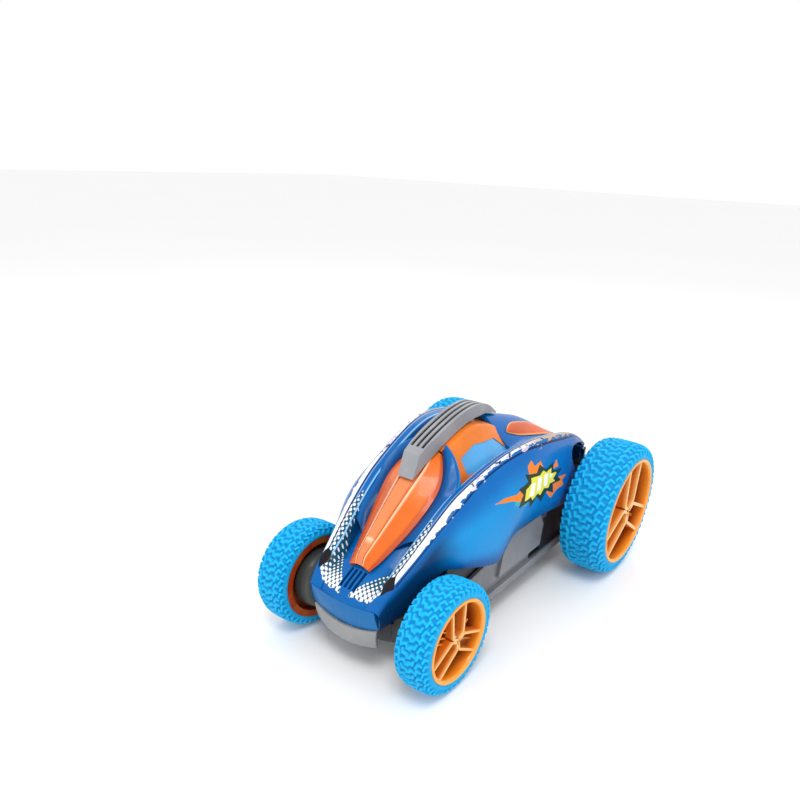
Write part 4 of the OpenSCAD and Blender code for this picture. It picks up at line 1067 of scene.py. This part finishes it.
def add_spoke(pool, a, r, web, face, centre, sign):
    """Spoke with two tall side walls, a sunken floor between them and a rib along its middle."""
    half = 0.27 * r
    reach = math.sqrt((r - 1.2) ** 2 - half**2)
    thick = 0.06 * r
    meet = 0.15 * r
    for s in (-1, 1):
        wall = [(-0.02 * r, s * 0.5 * thick), (meet, s * (0.22 * r)), (reach, s * half),
                (reach, s * (half - thick)), (meet + 0.02 * r, s * (0.22 * r - thick)),
                (0.08 * r, s * 0.3 * thick)]
        turned_prism(pool, wall, a, web + 1, face, centre, sign, 0.9, wall=0.7)
    # Painted shade: the sunken floor is painted dark, the rib half dark.
    floor = [(0.1 * r, -0.12 * r), (meet, -0.22 * r), (reach, -half), (reach, half),
             (meet, 0.22 * r), (0.1 * r, 0.12 * r)]
    turned_prism(pool, floor, a, web + 1, mix(web, face, 0.6), centre, sign, channel=0.85)
    rib = strip(0.3 * r, 0, 0.03 * r, reach * 0.96, 0, 0.03 * r)
    turned_prism(pool, rib, a, web + 1, mix(web, face, 0.7), centre, sign, channel=0.5)


def add_fins(pool, a, r, w, web, centre, sign):
    """Three fins, and two thin dark strips of painted shade that stand in for slots, on the web between
    two spokes.
    """
    for i in (-1, 0, 1):
        fin = strip(0.3 * r, i * 0.13 * r, 0.35, 0.62 * r, i * 0.16 * r, 0.35)
        turned_prism(pool, fin, a, web + 1, 0.74 * w, centre, sign, 0.8, wall=0.3)
    for i in (-0.5, 0.5):
        # Thin dark strips of painted shade in place of slots.
        slot = strip(0.34 * r, i * 0.14 * r, 0.9, 0.6 * r, i * 0.16 * r, 1.1)
        turned_prism(pool, slot, a, web + 1.2, web + 1.7, centre, sign, channel=1.0)


def build_drums():
    """Hub drums behind the front wheels, with their arms."""
    for side, sign in SIDES.items():
        low, high = box_mm("front_tyre_l")
        wheel = (low + high) / 2
        wheel[1] = 0
        face = low[1] + 2.3
        profile = [(12.9, face), (14.2, face), (14.5, face - 0.3), (14.5, 31.2), (14.35, 30.4),
                   (13.9, 29.4), (13.2, 28.6), (12.0, 27.7), (10.5, 27.1), (8.6, 26.7), (6.4, 26.4),
                   (3, 26.25), (0, 26.2)]
        dome = np.array([1.0 if p[0] < 13.5 else 0.3 for p in profile])
        pool = Pool()
        lathe(pool, profile, wheel, sign, {"dome": dome}, 96)
        inner = [(0, 29.6), (11.8, 30), (12.9, 31.6), (12.9, face)]
        lathe(pool, inner, wheel, sign, {"dome": 0.0}, 96)
        pool.prism(strip(wheel[0] - 7, 23.5, 6.5, wheel[0] + 7, 23.5, 6.5), sign * 18.9, sign * 27.5,
                   {"dome": 0.0})
        obj = pool.build(f"hub_drum_{side}")
        weld(obj)
        soften(obj, 0.3, 40)
        place(obj, "chassis_grey", f"hub_carrier_{side}", look=DRUM)


def build_wheels():
    for end, blocks in TREAD_BLOCKS.items():
        low, high = box_mm(f"{end}_rim_l")
        rim_r = (high[2] - low[2]) / 2 - RIM_FLANGE
        for side in SIDES:
            build_tyre(end, side, blocks, rim_r)
            build_rim(end, side, rim_r)


def build_side_walls():
    """Dark inner walls that close the gap between the sills and the skirt."""
    sill_y = box_mm("side_sill_l")[0][1]
    for side, sign in SIDES.items():
        pool = Pool()
        pool.prism([(4, 38), (15, 38), (24, 37), (44, 34), (55, 34), (60, 40), (58, 50), (4, 52)],
                   sign * (sill_y + 0.4), sign * (sill_y + 1.4))
        obj = pool.build(f"side_inner_wall_{side}")
        soften(obj, 0.2, 40)
        place(obj, "chassis_grey")


# ---- carried-over CAD nodes ----

def finish_cad_nodes():
    """Material by its slot, and softened edges, for every CAD node that still shows."""
    slots = {s["node"]: s["material_slot"] for s in frame["record"]["subparts"]}
    for name, obj in frame["nodes"].items():
        if obj.hide_render:
            continue
        obj.data.materials.clear()
        obj.data.materials.append(FINISH[slots[name]])
        soften(obj, 0.12 if "gear" in name or "pinion" in name else 0.22, 35)


# ---- stage, light and camera ----

# Soft lamps: name, place and size in metres, power in watts
LAMPS = (("key", (0.35, 0.25, 0.85), 0.3, 3.0),
         ("fill", (0.1, 0.8, 0.35), 0.6, 0.5),
         ("back", (-0.7, -0.3, 0.6), 0.4, 1.0))


def build_stage():
    """Plain pale floor, white surroundings and the lamps."""
    reach = 6000
    corners = [(-reach, -reach, 0), (reach, -reach, 0), (reach, reach, 0), (-reach, reach, 0)]
    floor = new_object("studio_floor", corners, [(0, 1, 2, 3)])
    p = Paint("studio_floor", 0.8, specular=0.1)
    p.colour(p.blend(p.noise(3, 2), (0.93, 0.93, 0.93), (0.95, 0.95, 0.95)))
    floor.data.materials.append(p.material)
    world = bpy.data.worlds.new("studio")
    world.use_nodes = True
    sky = world.node_tree.nodes["Background"]
    sky.inputs["Color"].default_value = (1, 1, 1, 1)
    sky.inputs["Strength"].default_value = 1.0
    bpy.context.scene.world = world
    for name, at, size, power in LAMPS:
        data = bpy.data.lights.new(name, "AREA")
        data.size = size
        data.energy = power
        lamp = bpy.data.objects.new(name, data)
        lamp.location = at
        lamp.rotation_euler = (-Vector(at)).to_track_quat("-Z", "Y").to_euler()
        bpy.context.scene.collection.objects.link(lamp)
    bpy.context.scene.view_settings.view_transform = "Standard"


def build_camera():
    """Camera at the photograph's angle: front left, looking down, with a slight roll."""
    azimuth, elevation, roll = map(math.radians, (123.6, 30.41, 2.658))
    back = Vector((math.sin(azimuth) * math.cos(elevation), -math.cos(azimuth) * math.cos(elevation),
                   math.sin(elevation)))
    target = Vector((0.00575, 0, 0.022))
    distance = 0.3557
    data = bpy.data.cameras.new("camera")
    data.sensor_width = 36
    data.lens = 29.7
    data.shift_x, data.shift_y = -0.0731, 0.1848
    data.clip_start, data.clip_end = 0.01, 20
    camera = bpy.data.objects.new("camera", data)
    turn = (-back).to_track_quat("-Z", "Y").to_matrix() @ Matrix.Rotation(roll, 3, "Z")
    camera.matrix_world = Matrix.Translation(target + back * distance) @ turn.to_4x4()
    bpy.context.scene.collection.objects.link(camera)
    bpy.context.scene.camera = camera


build_stage()
build_camera()
build_shell()
build_hood()
build_pillars()
build_gutters()
build_insert()
build_spine()
build_canopy()
build_deck_inserts()
build_bumper()
build_wheels()
build_drums()
build_side_walls()
finish_cad_nodes()
